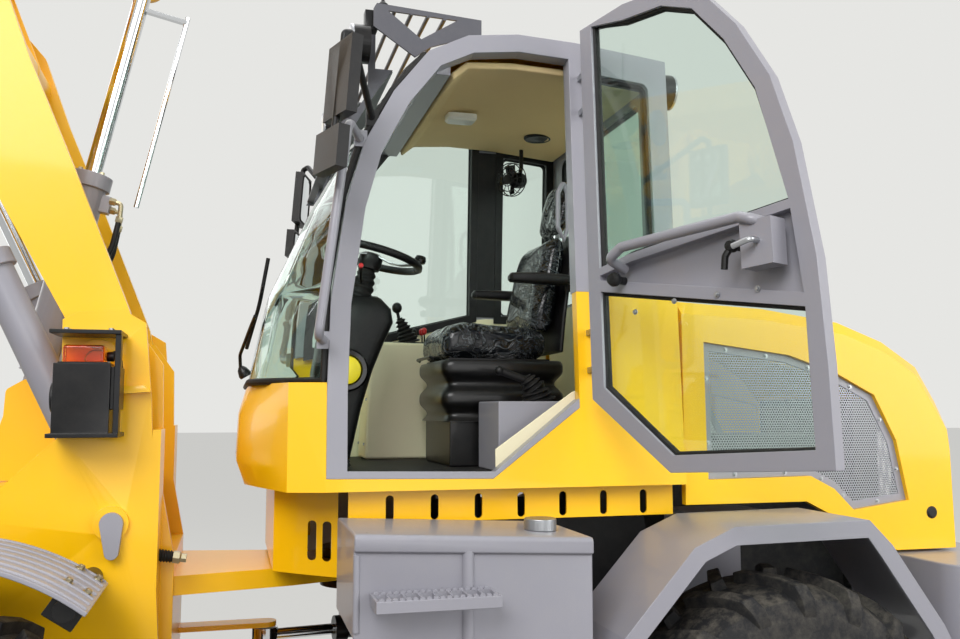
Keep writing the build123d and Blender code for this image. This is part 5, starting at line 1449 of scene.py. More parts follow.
@dataclass
class SteeringStand:
    """Steering wheel on its covered column, with stalks and pedals."""

    hub: Point = (0.05, 0.0, 2.125)
    tilt: float = math.radians(14)
    radius: float = 0.18
    grip: float = 0.0145
    disc: Point = (-0.047, -0.086, 1.699)

    def _wheel(self, ring: Matrix) -> None:
        """Makes the rim, spokes, hub and spinner knob."""
        rim = Shape()
        rim.tube([ring @ Vector((u, v, 0.0)) for u, v in circle(self.radius, 64)], self.grip, 14, closed=True)
        for u, v in circle(self.radius, 3):
            rim.ball(ring @ Vector((u, v, 0.0)), self.grip * 1.18, 0.9, 8)
        rim.piece("steering_wheel_rim", "rear", PLASTIC, 0.0, ["steering_column"])
        spokes = Shape()
        for degrees_on in (90, 210, 330):
            turn = ring @ Matrix.Rotation(math.radians(degrees_on), 4, "Z")
            rings = []
            for reach, half, height, thick in ((0.03, 0.02, 0.002, 0.003), (0.075, 0.015, -0.012, 0.0028),
                                               (0.12, 0.013, -0.014, 0.0025), (0.172, 0.016, -0.002, 0.003)):
                corners = ((-half, height - thick), (half, height - thick), (half, height + thick),
                           (-half, height + thick))
                rings.append([turn @ Vector((reach, v, w)) for v, w in corners])
            spokes.rings(rings)
        spokes.piece("steering_wheel_spokes", "rear", SILVER, 0.0015)
        hub = [(0.024, -0.055), (0.04, -0.05), (0.044, -0.03), (0.044, -0.006), (0.04, 0.004), (0.03, 0.01),
               (TIP, 0.013)]
        Shape().lathe(hub, ring, 36).piece("steering_wheel_hub", "rear", PLASTIC, 0.001)
        spinner = [(0.007, 0.0), (0.007, 0.022), (0.02, 0.027), (0.023, 0.04), (0.018, 0.053), (TIP, 0.058)]
        knob = Shape().lathe(spinner, ring @ Matrix.Translation((self.radius, 0.0, 0.0)), 20)
        knob.piece("steering_spinner_knob", "rear", GLOSSY)

    def _column(self) -> None:
        """Makes the cover, the neck boot, the stalks and the round vent with its disc."""
        across, ahead = Vector((0.0, 1.0, 0.0)), Vector((1.0, 0.0, 0.0))
        rows = (
            (1.362, -0.16, -0.03, 0.078), (1.56, -0.158, 0.012, 0.08), (1.7, -0.152, 0.052, 0.086), (1.8,
                                                                                                     -0.135,
                                                                                                     0.092,
                                                                                                     0.089),
            (1.875, -0.1, 0.126, 0.089), (1.925, -0.075, 0.118, 0.082), (1.962, -0.048, 0.085, 0.062), (1.972,
                                                                                                        -0.035,
                                                                                                        0.07,
                                                                                                        0.045),
        )
        cover = [oblong(Vector(((a + b) / 2, 0.0, z)), half, (b - a) / 2, across, ahead, 0.42) for z, a, b,
                 half in rows]
        Shape().rings(cover).piece("column_cover", "rear", PLASTIC, 0.003)
        boot("column_neck", "rear", [(-0.002, 0.0, 1.955), (0.018, 0.0, 2.01), (0.037, 0.0, 2.076)], 0.05,
             0.03, 0.003, 5, RUBBER)
        stalks = Shape()
        stalks.tube([(0.012, -0.02, 2.02), (0.0, -0.08, 2.03), (-0.01, -0.15, 2.05)], 0.006, 10, 0.03)
        stalks.tube([(-0.01, -0.15, 2.05), (-0.014, -0.19, 2.058)], 0.009, 10)
        stalks.tube([(0.012, 0.02, 2.02), (0.0, 0.08, 2.03), (-0.01, 0.17, 2.055)], 0.006, 10, 0.03)
        stalks.piece("column_stalks", "rear", PLASTIC)
        tips = Shape().tube([(-0.0142, -0.19, 2.0582), (-0.0152, -0.2, 2.06)], 0.0088, 10)
        tips.box((0.098, -0.03, 1.918), (0.12, 0.01, 1.93))
        tips.piece("column_red_marks", "rear", RED, 0.001)
        face = turned((0.0, -1.0, 0.0), self.disc)
        ring = [(0.05, -0.004), (0.074, 0.0), (0.077, 0.012), (0.07, 0.02), (0.056, 0.018), (0.052, 0.008),
                (0.046, 0.004)]
        Shape().lathe(ring, face, 40).piece("column_round_frame", "rear", GLOSSY)
        disc = [(0.051, 0.002), (0.05, 0.012), (0.04, 0.016), (TIP, 0.017)]
        Shape().lathe(disc, face, 36).piece("column_yellow_disc", "rear", SUN_DISC)

    @staticmethod
    def _pedals() -> None:
        """Makes the pedals with their ribbed rubber faces."""
        plates, rods = Shape(), Shape()
        for x, y, z, tall in ((-0.1, -0.27, 1.43, 0.07), (-0.115, -0.15, 1.46, 0.06),
                              (-0.105, 0.17, 1.45, 0.08)):
            tilt = Matrix.Translation((x, y, z)) @ Matrix.Rotation(math.radians(-38), 4, "Y")
            plates.box((-0.006, -0.04, -tall), (0.004, 0.04, tall), tilt)
            for index in range(6):
                lift = -tall + (index + 0.7) * tall / 3.2
                plates.box((0.003, -0.036, lift - 0.004), (0.009, 0.036, lift + 0.004), tilt)
            foot = tilt @ Vector((-0.004, 0.0, -tall * 0.6))
            rods.tube([foot, (foot.x - 0.05, foot.y, 1.4), (foot.x - 0.06, foot.y, 1.36)], 0.008, 10, 0.02)
        plates.piece("pedal_plates", "rear", RUBBER, 0.0015)
        rods.piece("pedal_arms", "rear", BLACK_PAINT)

    def build(self) -> None:
        """Makes the whole stand."""
        self._wheel(Matrix.Translation(self.hub) @ Matrix.Rotation(self.tilt, 4, "Y"))
        self._column()
        self._pedals()


@dataclass
class CabFittings:
    """Consoles, levers, linings, ceiling lamp, speaker and fan."""

    floor: float = 1.36
    lining: float = 0.006
    console_inner: float = 0.345
    console_outer: float = 0.552
    box_low: Point = (0.395, -0.5, 1.36)
    box_high: Point = (0.64, -0.248, 1.587)
    fan: Point = (0.708, 0.35, 2.542)
    right_hole: tuple[Flat, ...] = (
        (-0.1, 1.806), (-0.097, 1.878), (-0.055, 2.179), (-0.003, 2.365), (0.086, 2.535), (0.188, 2.666), (0.299,
                                                                                                           2.722), (0.454,
                                                                                                                    2.742),
        (0.566, 2.738), (0.566, 1.972),
    )
    rear_hole: tuple[Flat, ...] = ((0.705, 1.972), (0.705, 2.69), (0.915, 2.67), (0.915, 1.972))

    def wall_face(self) -> Matrix:
        """Plane of the linings, just inside the left cab wall."""
        return cab_wall_plane(0.052 + self.lining)

    def _consoles(self) -> None:
        """Makes the right-hand console and the sheet box beside the seat."""
        outline = ((0.08, self.floor), (0.1, 1.835), (0.38, 1.829), (0.42, 1.7), (0.64, 1.69),
                   (0.64, self.floor))
        Shape().prism(outline, side_plane(self.console_outer), self.console_outer - self.console_inner).piece(
            "right_console", "rear", BEIGE, 0.014, ["cab_consoles"])
        top = Shape().box((0.12, 0.372, 1.828), (0.36, 0.53, 1.837))
        top.piece("right_console_plate", "rear", PLASTIC, 0.003)
        screws = [(0.085, y, z) for y in (0.37, 0.53) for z in (1.42, 1.6, 1.78)]
        bolt_heads("console_screws", "rear", [(x + (z - 1.36) * 0.042 - 0.0035, y, z) for x, y, z in screws],
                   [(-1.0, 0.0, 0.0)] * 6, 0.009)
        Shape().box(self.box_low, self.box_high).piece("left_sheet_box", "rear", GREY, 0.005)
        vent = [(0.042, -0.002), (0.044, 0.004), (0.038, 0.007), (0.03, 0.003), (TIP, 0.002)]
        Shape().lathe(vent, turned((0.0, -1.0, 0.0), (0.47, -0.5, 1.43)), 32).piece("left_box_vent", "rear",
                                                                                    PLASTIC)

    @staticmethod
    def _levers() -> None:
        """Makes the boots, grips and caps of the levers and the console's switches."""
        boot("gear_boot", "rear", [(0.272, 0.42, 1.832), (0.256, 0.42, 1.88), (0.23, 0.42, 1.938)], 0.046,
             0.015, 0.0045, 7, RUBBER)
        boot("brake_boot", "rear", [(0.575, -0.37, 1.583), (0.56, -0.37, 1.63), (0.53, -0.37, 1.67)], 0.058,
             0.02, 0.006, 6, RUBBER)
        grips = Shape()
        grips.tube([(0.23, 0.42, 1.93), (0.222, 0.42, 1.965)], 0.007, 10)
        grips.ball((0.22, 0.42, 1.982), 0.021, 1.1)
        grips.tube([(0.53, -0.37, 1.66), (0.44, -0.37, 1.69)], 0.013, 14)
        grips.ball((0.436, -0.37, 1.691), 0.016)
        grips.piece("lever_grips", "rear", PLASTIC)
        rods = Shape()
        for x, y in ((0.34, 0.42), (0.34, 0.47), (0.31, 0.49)):
            rods.tube([(x, y, 1.83), (x - 0.004, y, 1.878)], 0.004, 8)
        rods.piece("small_lever_rods", "rear", CHROME)
        profile = [(0.006, 0.0), (0.011, 0.006), (0.012, 0.02), (0.007, 0.028), (TIP, 0.03)]
        for name, finish, spots in (
            ("red_lever_caps", RED, ((0.336, 0.42), (0.336, 0.47))), ("black_lever_cap", PLASTIC,
                                                                      ((0.306, 0.49),)),
        ):
            caps = Shape()
            for x, y in spots:
                caps.lathe(profile, Matrix.Translation((x, y, 1.872)), 16)
            caps.piece(name, "rear", finish)
        switches = Shape()
        for index in range(5):
            x = 0.145 + index * 0.028
            switches.box((x, 0.49, 1.835), (x + 0.02, 0.52, 1.842))
        switches.piece("console_switches", "rear", GLOSSY, 0.002)

    def _linings(self) -> None:
        """Makes the beige linings inside the cab's walls."""
        outline = ((-0.03, 1.362), (-0.03, 1.79), (0.135, 1.85), (0.575, 1.955), (0.64, 1.962),
                   (0.925, 1.962), (0.925, 1.362))
        wall = Shape().prism(outline, self.wall_face(), self.lining)
        wall.across().piece("right_wall_lining", "rear", BEIGE, 0.003)
        rear = Shape().box((0.93, -0.53, 1.362), (0.936, 0.53, 1.99))
        rear.box((0.9, -0.53, 1.362), (0.93, 0.53, 1.43))
        rear.piece("rear_wall_lining", "rear", BEIGE, 0.003)
        sill = ((0.36, 1.362), (0.36, 1.44), (0.62, 1.62), (0.925, 1.72), (0.925, 1.362))
        Shape().prism(sill, self.wall_face(), self.lining).piece("left_wall_lining", "rear", BEIGE, 0.003)

    def _window_trims(self) -> None:
        """Makes the black trims round the side windows and on the right-hand pillar, inside the cab."""
        right, rear = Shape(), Shape()
        for shape, hole in ((right, self.right_hole), (rear, self.rear_hole)):
            hoop(shape, inset(hole, -0.03), 0.034, cab_wall_plane(0.064), 0.01)
            hoop(shape, inset(hole, 0.0005), 0.0045, cab_wall_plane(0.056), 0.02)
        right.prism(((0.592, 1.97), (0.592, 2.7), (0.68, 2.7), (0.68, 1.97)), cab_wall_plane(0.062), 0.012)
        right.across().piece("right_window_trims", "rear", PLASTIC, 0.002)
        rear.both().piece("rear_window_trims", "rear", PLASTIC, 0.002)

    def _ceiling(self) -> None:
        """Makes the ceiling lamp and speaker."""
        Shape().rings([
            oblong(Vector((0.39, 0.0, z)), half_x, half_y, Vector((1, 0, 0)), Vector((0, 1, 0)), 0.3)
            for z, half_x, half_y in ((2.69, 0.058, 0.04), (2.672, 0.058, 0.04), (2.664, 0.05, 0.033),
                                      (2.662, 0.03, 0.02))
        ]).piece("ceiling_lamp", "rear", WHITE, 0.001)
        speaker = [(0.056, -0.012), (0.058, 0.004), (0.052, 0.01), (0.044, 0.007), (0.02, 0.009),
                   (TIP, 0.012)]
        Shape().lathe(speaker, turned((0.0, 0.0, -1.0), (0.77, 0.2, 2.69)), 36).piece("ceiling_speaker",
                                                                                      "rear", PLASTIC)

    def _fan(self) -> None:
        """Makes the small cab fan: cage, blades, motor and stem."""
        face = turned((-0.8, -0.55, -0.12), self.fan)
        cage, blades = Shape(), Shape()
        for radius, height in ((0.07, 0.0), (0.07, 0.024), (0.05, 0.034), (0.028, 0.038)):
            loop = [face @ Vector((u, v, height)) for u, v in circle(radius, 32)]
            cage.tube(loop, 0.0022, 6, closed=True)
        for index in range(12):
            a = 2 * math.pi * index / 12
            spots = [(0.07, -0.002), (0.07, 0.024), (0.05, 0.034), (0.012, 0.04)]
            cage.tube([tuple(face @ Vector((r * math.cos(a), r * math.sin(a), h))) for r, h in spots], 0.0016,
                      6)
        cage.lathe([(0.02, 0.036), (0.022, 0.042), (TIP, 0.044)], face, 20)
        cage.lathe([(0.03, -0.06), (0.034, -0.05), (0.034, -0.012), (0.02, 0.0), (0.01, 0.02), (TIP, 0.022)],
                   face, 24)
        cage.tube([face @ Vector((0.0, 0.0, -0.04)),
                   (self.fan[0] + 0.05, self.fan[1] + 0.04, self.fan[2] + 0.07),
                   (self.fan[0] + 0.05, self.fan[1] + 0.04, 2.7)], 0.009, 10, 0.02)
        cage.piece("fan_cage", "rear", PLASTIC)
        for index in range(4):
            turn = face @ Matrix.Rotation(index * math.pi / 2, 4, "Z")
            rings = []
            for r, half, twist in ((0.012, 0.008, 0.7), (0.035, 0.02, 0.55), (0.062, 0.022, 0.4)):
                u, w = math.cos(twist) * half, math.sin(twist) * half
                rings.append([turn @ Vector(p) for p in ((r, -u, 0.012 - w), (r, u, 0.012 + w),
                                                         (r, u, 0.0135 + w), (r, -u, 0.0135 - w))])
            blades.rings(rings)
        blades.piece("fan_blades", "rear", GLOSSY)

    def build(self) -> None:
        """Makes all the fittings."""
        self._consoles()
        self._levers()
        self._linings()
        self._window_trims()
        self._ceiling()
        self._fan()


@dataclass
class Lights:
    """Lenses, bezels and holders of the lamps, and the mirrors' glass."""

    roof_y: float = 0.47
    mirror: Point = (-0.154, -0.8, 2.5)
    small_mirror: Point = (-0.184, -0.8, 2.29)

    @staticmethod
    def _round(lens: Shape, bezel: Shape, place: Point, aim: Point, radius: float) -> None:
        """Adds a round lens in its bezel."""
        base = turned(aim, place)
        lens.lathe([(radius * 0.86, 0.0), (radius * 0.84, 0.005), (radius * 0.6, 0.009), (TIP, 0.011)], base,
                   32)
        bezel.lathe([(radius * 0.85, -0.002), (radius, -0.002), (radius, 0.006), (radius * 0.94, 0.009),
                     (radius * 0.85, 0.006)], base, 36)

    def _fronts(self) -> None:
        """Makes the fronts of the work lamps and of the tower lamps."""
        lens, bezel = Shape(), Shape()
        for y in (-self.roof_y, self.roof_y):
            self._round(lens, bezel, (-0.0895, y, 2.745), (-1.0, 0.0, 0.0), 0.062)
        for y in (-0.44, 0.44):
            self._round(lens, bezel, (1.0525, y, 2.69), (1.0, 0.0, 0.0), 0.062)
        lens.piece("work_lamp_lenses", "rear", WHITE)
        bezel.piece("work_lamp_bezels", "rear", SILVER)
        tower_lens, tower_bezel = Shape(), Shape()
        for hand in (-1, 1):
            self._round(tower_lens, tower_bezel, (-0.92, hand * 0.546, 1.594), (-1.0, 0.0, 0.0), 0.044)
        tower_lens.piece("tower_lamp_lenses", "front", WHITE)
        tower_bezel.piece("tower_lamp_bezels", "front", PLASTIC)

    @staticmethod
    def _amber() -> None:
        """Makes the tower's amber lamps with their holders, cables and bolts."""
        amber = Shape().box((-0.9, -0.585, 1.69), (-0.79, -0.515, 1.742)).both()
        amber.piece("tower_amber_lenses", "front", AMBER, 0.008)
        holder = Shape().box((-0.91, -0.592, 1.676), (-0.778, -0.505, 1.694))
        holder.tube([(-0.785, -0.53, 1.71), (-0.765, -0.53, 1.73), (-0.752, -0.52, 1.70),
                     (-0.75, -0.5, 1.66)], 0.005, 8, 0.015)
        holder.lathe([(0.012, 0.0), (0.014, 0.004), (0.014, 0.02), (0.008, 0.024)],
                     turned((1, 0, 0), (-0.79, -0.53, 1.712)), 16)
        holder.both().piece("tower_lamp_holders", "front", PLASTIC, 0.003)
        spots = [(x, s * y, 1.784) for x in (-0.9, -0.78) for y in (-0.53, -0.48) for s in (1, -1)]
        bolt_heads("tower_lamp_bolts", "front", spots, [(0.0, 0.0, 1.0)] * len(spots), 0.014)

    @staticmethod
    def _tails() -> None:
        """Makes the lenses of the tail lamps."""
        tails, rims = Shape(), Shape()
        for hand in (-1, 1):
            low, high = sorted((hand * 0.575, hand * 0.745))
            third = (high - low) / 3
            tails.box((2.222, low, 0.912), (2.232, low + third * 2, 0.978))
            rims.box((2.222, low + third * 2 + 0.004, 0.912), (2.232, high, 0.978))
        tails.piece("tail_lamp_red", "rear", RED_LENS, 0.004)
        rims.piece("tail_lamp_amber", "rear", AMBER, 0.004)

    def _mirrors(self) -> None:
        """Makes the mirrors' glass and its rubber beads."""
        glass, beads = Shape(), Shape()
        across, up = Vector((0, 1, 0)), Vector((0, 0, 1))
        for centre, half_z in ((self.mirror, 0.1), (self.small_mirror, 0.048)):
            turn = Matrix.Translation(centre) @ Matrix.Rotation(math.radians(4), 4,
                                                                "Y") @ Matrix.Rotation(math.radians(18), 4,
                                                                                       "Z")
            glass.rings([
                [turn @ p for p in oblong(Vector((x, 0, 0)), 0.067 * size, half_z * size, across, up, 0.3)]
                for x, size in ((0.0165, 1.0), (0.0178, 1.0), (0.0182, 0.985))
            ])
            line = [turn @ p for p in oblong(Vector((0.0175, 0, 0)), 0.071, half_z + 0.004, across, up, 0.3)]
            beads.tube(line, 0.0035, 8, closed=True)
        glass.both().piece("mirror_glasses", "rear", MIRROR)
        beads.both().piece("mirror_beads", "rear", RUBBER)

    def build(self) -> None:
        """Makes the lamp fronts and the mirrors' glass."""
        self._fronts()
        self._amber()
        self._tails()
        self._mirrors()


@dataclass
class DoorTrim:
    """Latch levers, knobs and rail screws of the door."""

    inner: float = -0.006

    def build(self) -> None:
        """Makes the door's small pieces in their open place."""
        place = door_plane()
        latch = Shape()
        latch.box((-0.07, self.inner + 0.05, 1.886), (0.012, self.inner + 0.058, 1.99), place)
        latch.tube([place @ Vector(p) for p in ((-0.03, 0.05, 1.94), (-0.03, 0.085, 1.94),
                                                (0.02, 0.09, 1.93))], 0.008, 10, 0.01)
        latch.piece("door_latch_plate", "door", BOLT, 0.002)
        knobs = Shape()
        for spot, aim, radius in (((0.49, 0.03, 1.93), (0.0, 1.0, 0.0), 0.02),
                                  ((0.06, 0.03, 1.945), (0.0, 1.0, 0.0), 0.016)):
            direction = place.to_3x3() @ Vector(aim)
            knobs.lathe([(radius * 0.6, -0.035), (radius * 0.6, -0.01), (radius, 0.0), (radius * 1.1, 0.012),
                         (radius * 0.8, 0.024), (TIP, 0.027)],
                        turned(direction, place @ Vector(spot)), 20)
        knobs.tube([place @ Vector(p) for p in ((0.06, 0.04, 1.945), (0.075, 0.05, 1.92),
                                                (0.08, 0.05, 1.885))], 0.009, 10, 0.02)
        knobs.piece("door_knobs", "door", PLASTIC)
        screws = [place @ Vector((x, self.inner + 0.002, z)) for x,
                  z in ((0.45, 1.83), (0.3, 1.84), (0.15, 1.835), (0.02, 1.83))]
        aims = [place.to_3x3() @ Vector((0.0, 1.0, 0.0))] * len(screws)
        bolt_heads("door_rail_screws", "door", screws, aims, 0.01)


@dataclass
class FrontDetails:
    """Lock plates, hoses, pipes and cylinder glands of the front half."""

    wall: float = 0.445
    barrel_start: Flat = (-1.092, 1.595)
    barrel_aim: Flat = (0.2125, 0.9772)
    lift_start: Flat = (-0.771, 1.229)
    lift_aim: Flat = (-0.4352, 0.9004)
    lift_y: float = 0.36

    def _along(self, start: Flat, aim: Flat, reach: float, off: float, y: float) -> Point:
        """Point beside a cylinder's axis, a reach along it and a distance to its rear side."""
        return (start[0] + aim[0] * reach + aim[1] * off, y, start[1] + aim[1] * reach - aim[0] * off)

    def _gland(self, shape: Shape, start: Flat, aim: Flat, reach: float, y: float, radius: float) -> None:
        """Adds a bolted collar round a barrel's end."""
        base = turned((aim[0], 0.0, aim[1]), self._along(start, aim, reach - 0.05, 0.0, y))
        shape.lathe([(radius, 0.0), (radius + 0.012, 0.003), (radius + 0.012, 0.046), (radius + 0.006, 0.05),
                     (radius - 0.01, 0.0515)], base, 36)

    def _glands(self) -> None:
        """Makes the cylinders' collars and the lift barrels' pipes."""
        collars = Shape()
        self._gland(collars, self.barrel_start, self.barrel_aim, 0.79, 0.0, 0.057)
        collars.piece("tilt_gland", "tilt_barrel_body", GREY, 0.001)
        base = turned((self.barrel_aim[0], 0.0, self.barrel_aim[1]),
                      self._along(self.barrel_start, self.barrel_aim, 0.7915, 0.0, 0.0))
        spots = [base @ Vector((u, v, 0.0)) for u, v in circle(0.05, 4, math.pi / 4)]
        bolt_heads("tilt_gland_bolts", "tilt_barrel_body", spots,
                   [(self.barrel_aim[0], 0.0, self.barrel_aim[1])] * 4, 0.014, ZINC)
        lifts = Shape()
        self._gland(lifts, self.lift_start, self.lift_aim, 0.878, -self.lift_y, 0.052)
        lifts.both().piece("lift_glands", "lift_barrel_pair", GREY, 0.001)
        pipe = Shape()
        points = [self._along(self.lift_start, self.lift_aim, r, 0.0, -self.lift_y + y) for r,
                  y in ((0.3, 0.045), (0.32, 0.061), (0.8, 0.061), (0.83, 0.045))]
        pipe.tube(points, 0.007, 10, 0.02)
        pipe.both().piece("lift_barrel_pipes", "lift_barrel_pair", ZINC)

    def _ports(self) -> None:
        """Makes the tilt barrel's port blocks, fittings and hoses."""
        block = Shape()
        for reach, half, tall in ((0.7, 0.022, 0.03), (0.1, 0.02, 0.025)):
            place = self._along(self.barrel_start, self.barrel_aim, reach, 0.062, 0.0)
            turn = turned((self.barrel_aim[0], 0.0, self.barrel_aim[1]), place)
            block.box((-half, -half, -tall), (half, half, tall), turn)
        block.piece("tilt_port_blocks", "tilt_barrel_body", GREY, 0.003)
        fittings, hose = Shape(), Shape()
        for y, reach, off in ((-0.018, 0.715, 0.083), (0.018, 0.69, 0.083)):
            start = self._along(self.barrel_start, self.barrel_aim, reach, off, y)
            mid = self._along(self.barrel_start, self.barrel_aim, reach, off + 0.035, y)
            low = self._along(self.barrel_start, self.barrel_aim, reach - 0.05, off + 0.042, y)
            fittings.tube([start, mid, low], 0.0085, 10, 0.014)
            for spot, way in ((start, (self.barrel_aim[1], 0.0, -self.barrel_aim[0])),
                              (low, (-self.barrel_aim[0], 0.0, -self.barrel_aim[1]))):
                fittings.lathe([(0.0135, -0.004), (0.0135, 0.014), (0.011, 0.018), (0.0085, 0.018)],
                               turned(way, spot), 6)
            end = self._along(self.barrel_start, self.barrel_aim, 0.12 if y < 0 else 0.16, 0.08, y * 2.2)
            sag = [self._along(self.barrel_start, self.barrel_aim, r, o, y * 1.6) for r,
                   o in ((reach - 0.15, 0.128), (0.42, 0.1), (0.26, 0.086))]
            hose.tube([low, *sag, end], 0.0095, 12, 0.12)
        fittings.piece("tilt_port_fittings", "tilt_barrel_body", ZINC, 0.0008)
        hose.piece("tilt_barrel_hoses", "tilt_barrel_body", HOSE)

    def _locks(self) -> None:
        """Makes the pins' lock plates, their bolts and the arm pins' heads."""
        plates = Shape()
        for x, z, radius in ((-0.768, 1.229, 0.033), (-0.822, 1.702, 0.05)):
            small = (x + 0.003, z - 0.083)
            line = [(x + u, z + v) for u, v in circle(radius, 24)[:13]]
            line += [(small[0] + u, small[1] + v) for u, v in circle(0.02, 16, math.pi)[:9]]
            plates.prism(line, side_plane(-self.wall), 0.008 if z > 1.5 else 0.03)
        plates.both().piece("pin_lock_plates", "front", GREY, 0.0015)
        spots = [(x, s * (self.wall + 0.008), z) for x,
                 z in ((-0.768, 1.229), (-0.765, 1.146), (-0.819, 1.619)) for s in (-1, 1)]
        bolt_heads("lock_plate_bolts", "front", spots, [(0.0, 1.0 if p[1] > 0 else -1.0, 0.0) for p in spots],
                   0.018)
        head = [(0.034, 0.0), (0.034, 0.012), (0.03, 0.016), (TIP, 0.016)]
        place = turned((0, -1, 0), (-0.822, -self.wall - 0.008, 1.702))
        Shape().lathe(head, place, 28).both().piece("arm_pin_heads", "front", BOLT, 0.001)

    def build(self) -> None:
        """Makes the front half's small pieces."""
        self._glands()
        self._ports()
        self._locks()


@dataclass
class Trim:
    """Wiper, aerial, tank and step details, mudguard ribs, hood handle and bucket edge."""

    arc_centre: Flat = (-1.18, 0.537)
    arc_radius: float = 0.692
    arc_span: tuple[float, float] = (52.0, 124.0)
    guard_rows: tuple[float, ...] = (0.61, 0.67, 0.73, 0.79, 0.85, 0.91, 0.965)
    step_low: Flat = (-0.083, 0.227)
    step_rows: tuple[float, ...] = (-1.094, -1.006)
    step_top: float = 1.095
    lip: Flat = (-3.542, 3.012)

    def _wiper(self) -> None:
        """Makes the windscreen wiper."""
        arm, blade = Shape(), Shape()
        arm.lathe([(0.02, 0.0), (0.022, 0.01), (0.016, 0.03), (0.008, 0.04)],
                  turned((-0.5, 0, 0.85), (-0.392, -0.1, 1.672)), 16)
        arm.tube([(-0.412, -0.1, 1.7), (-0.415, -0.12, 1.745), (-0.384, -0.28, 1.83), (-0.372, -0.34, 1.86)],
                 0.006, 10, 0.03)
        arm.tube([(-0.39, -0.22, 1.796), (-0.366, -0.34, 1.88), (-0.352, -0.4, 1.95)], 0.004, 8, 0.02)
        arm.piece("wiper_arm", "rear", BLACK_PAINT, 0.001)
        ring_of = [(-0.394, -0.19, 1.765), (-0.36, -0.36, 1.895), (-0.337, -0.395, 2.04)]
        blade.tube(ring_of, 0.0065, 8, 0.1)
        blade.piece("wiper_blade", "rear", RUBBER)

    def _tank(self) -> None:
        """Makes the tank's corner columns, cap ring, step teeth and lid bolts."""
        column = Shape()
        for x, radius in ((0.17, 0.016), (-0.122, 0.009)):
            column.tube([(x, -0.986, 0.65 if x > 0 else 1.0), (x, -0.986, 1.192)], radius, 16)
        column.both().piece("tank_corner_columns", "rear", GREY)
        cap = Shape()
        for index in range(12):
            a = 2 * math.pi * index / 12
            spot = (0.416 + 0.043 * math.cos(a), -0.85 + 0.043 * math.sin(a), 1.236)
            cap.box((-0.003, -0.006, -0.011), (0.003, 0.006, 0.011),
                    Matrix.Translation(spot) @ Matrix.Rotation(a, 4, "Z"))
        cap.box((0.385, -0.858, 1.25), (0.447, -0.842, 1.2535))
        cap.both().piece("filler_cap_grips", "rear", BOLT, 0.001)
        tooth = Shape().rings([
            [Vector((x, y, z)) for x, y in ((-r, -0.003), (r, -0.003), (r, 0.003), (-r, 0.003))]
            for r, z in ((0.0065, -0.001), (0.006, 0.004), (0.0035, 0.0065))
        ]).object("tooth_item")
        spots = []
        for y in self.step_rows:
            count = int((self.step_low[1] - self.step_low[0]) / 0.017)
            spots += [(self.step_low[0] + (k + 0.5) * 0.017, y, self.step_top) for k in range(count)]
        spots += [(x, -y, z) for x, y, z in spots]
        values = {"Item": tooth, "Size": (1.0, 1.0, 1.0), "Finish": GREY.build()}
        show(REPEATS.grow("step_teeth", points_object(spots), values), "rear", GREY)
        bpy.data.objects.remove(tooth)
        pads = [(x, s * y, 1.2355 - 0.0457 * (x + 0.13)) for x in (-0.09, 0.48) for y in (0.66,
                                                                                          0.95) for s in (-1,
                                                                                                          1)]
        bolt_heads("tank_lid_bolts", "rear", pads, [(0.046, 0.0, 1.0)] * len(pads), 0.013)

    def _mudguards(self) -> None:
        """Makes the ribs and clamps of the front mudguards."""
        ribs = Shape()
        low, high = (math.radians(a) for a in self.arc_span)
        for y in self.guard_rows:
            line = []
            for index in range(25):
                a = low + (high - low) * (0.01 + 0.98 * index / 24)
                line.append((self.arc_centre[0] + self.arc_radius * math.cos(a), -y,
                             self.arc_centre[1] + self.arc_radius * math.sin(a)))
            ribs.tube(line, 0.0045, 8)
        ribs.both().piece("front_mudguard_ribs", "front", GREY)
        spots, aims = [], []
        for hand in (-1, 1):
            for y in (0.66, 0.86):
                for a in (math.radians(54.5), math.radians(59)):
                    spots.append((self.arc_centre[0] + self.arc_radius * math.cos(a), hand * y + 0.03,
                                  self.arc_centre[1] + self.arc_radius * math.sin(a)))
                    aims.append((math.cos(a), 0.0, math.sin(a)))
        bolt_heads("mudguard_clamp_bolts", "front", spots, aims, 0.016, ZINC)
        clamps = Shape()
        turn = math.radians(56)
        reach = self.arc_radius - 0.04
        for y in (0.67, 0.87):
            place = Matrix.Translation((self.arc_centre[0] + reach * math.cos(turn), -y,
                                        self.arc_centre[1] + reach * math.sin(turn)))
            clamps.box((-0.042, -0.022, -0.042), (0.042, 0.022, 0.03),
                       place @ Matrix.Rotation(-turn + math.pi / 2, 4, "Y"))
        clamps.both().piece("mudguard_clamps", "front", BLACK_PAINT, 0.003)

    def _hood(self) -> None:
        """Makes the hood's handle and latches."""
        handle = Shape()
        handle.tube([(2.034, -0.09, 1.62), (2.06, -0.09, 1.62), (2.06, 0.09, 1.62), (2.034, 0.09, 1.62)],
                    0.009, 12, 0.02)
        handle.piece("hood_handle", "hood", PLASTIC)
        latch = Shape()
        for hand in (-1, 1):
            latch.lathe([(0.02, -0.004), (0.022, 0.003), (0.016, 0.008), (TIP, 0.008)],
                        turned((0.0, hand, 0.0), (1.95, hand * 0.603, 1.2)), 20)
        latch.piece("hood_latches", "hood", PLASTIC, 0.001)

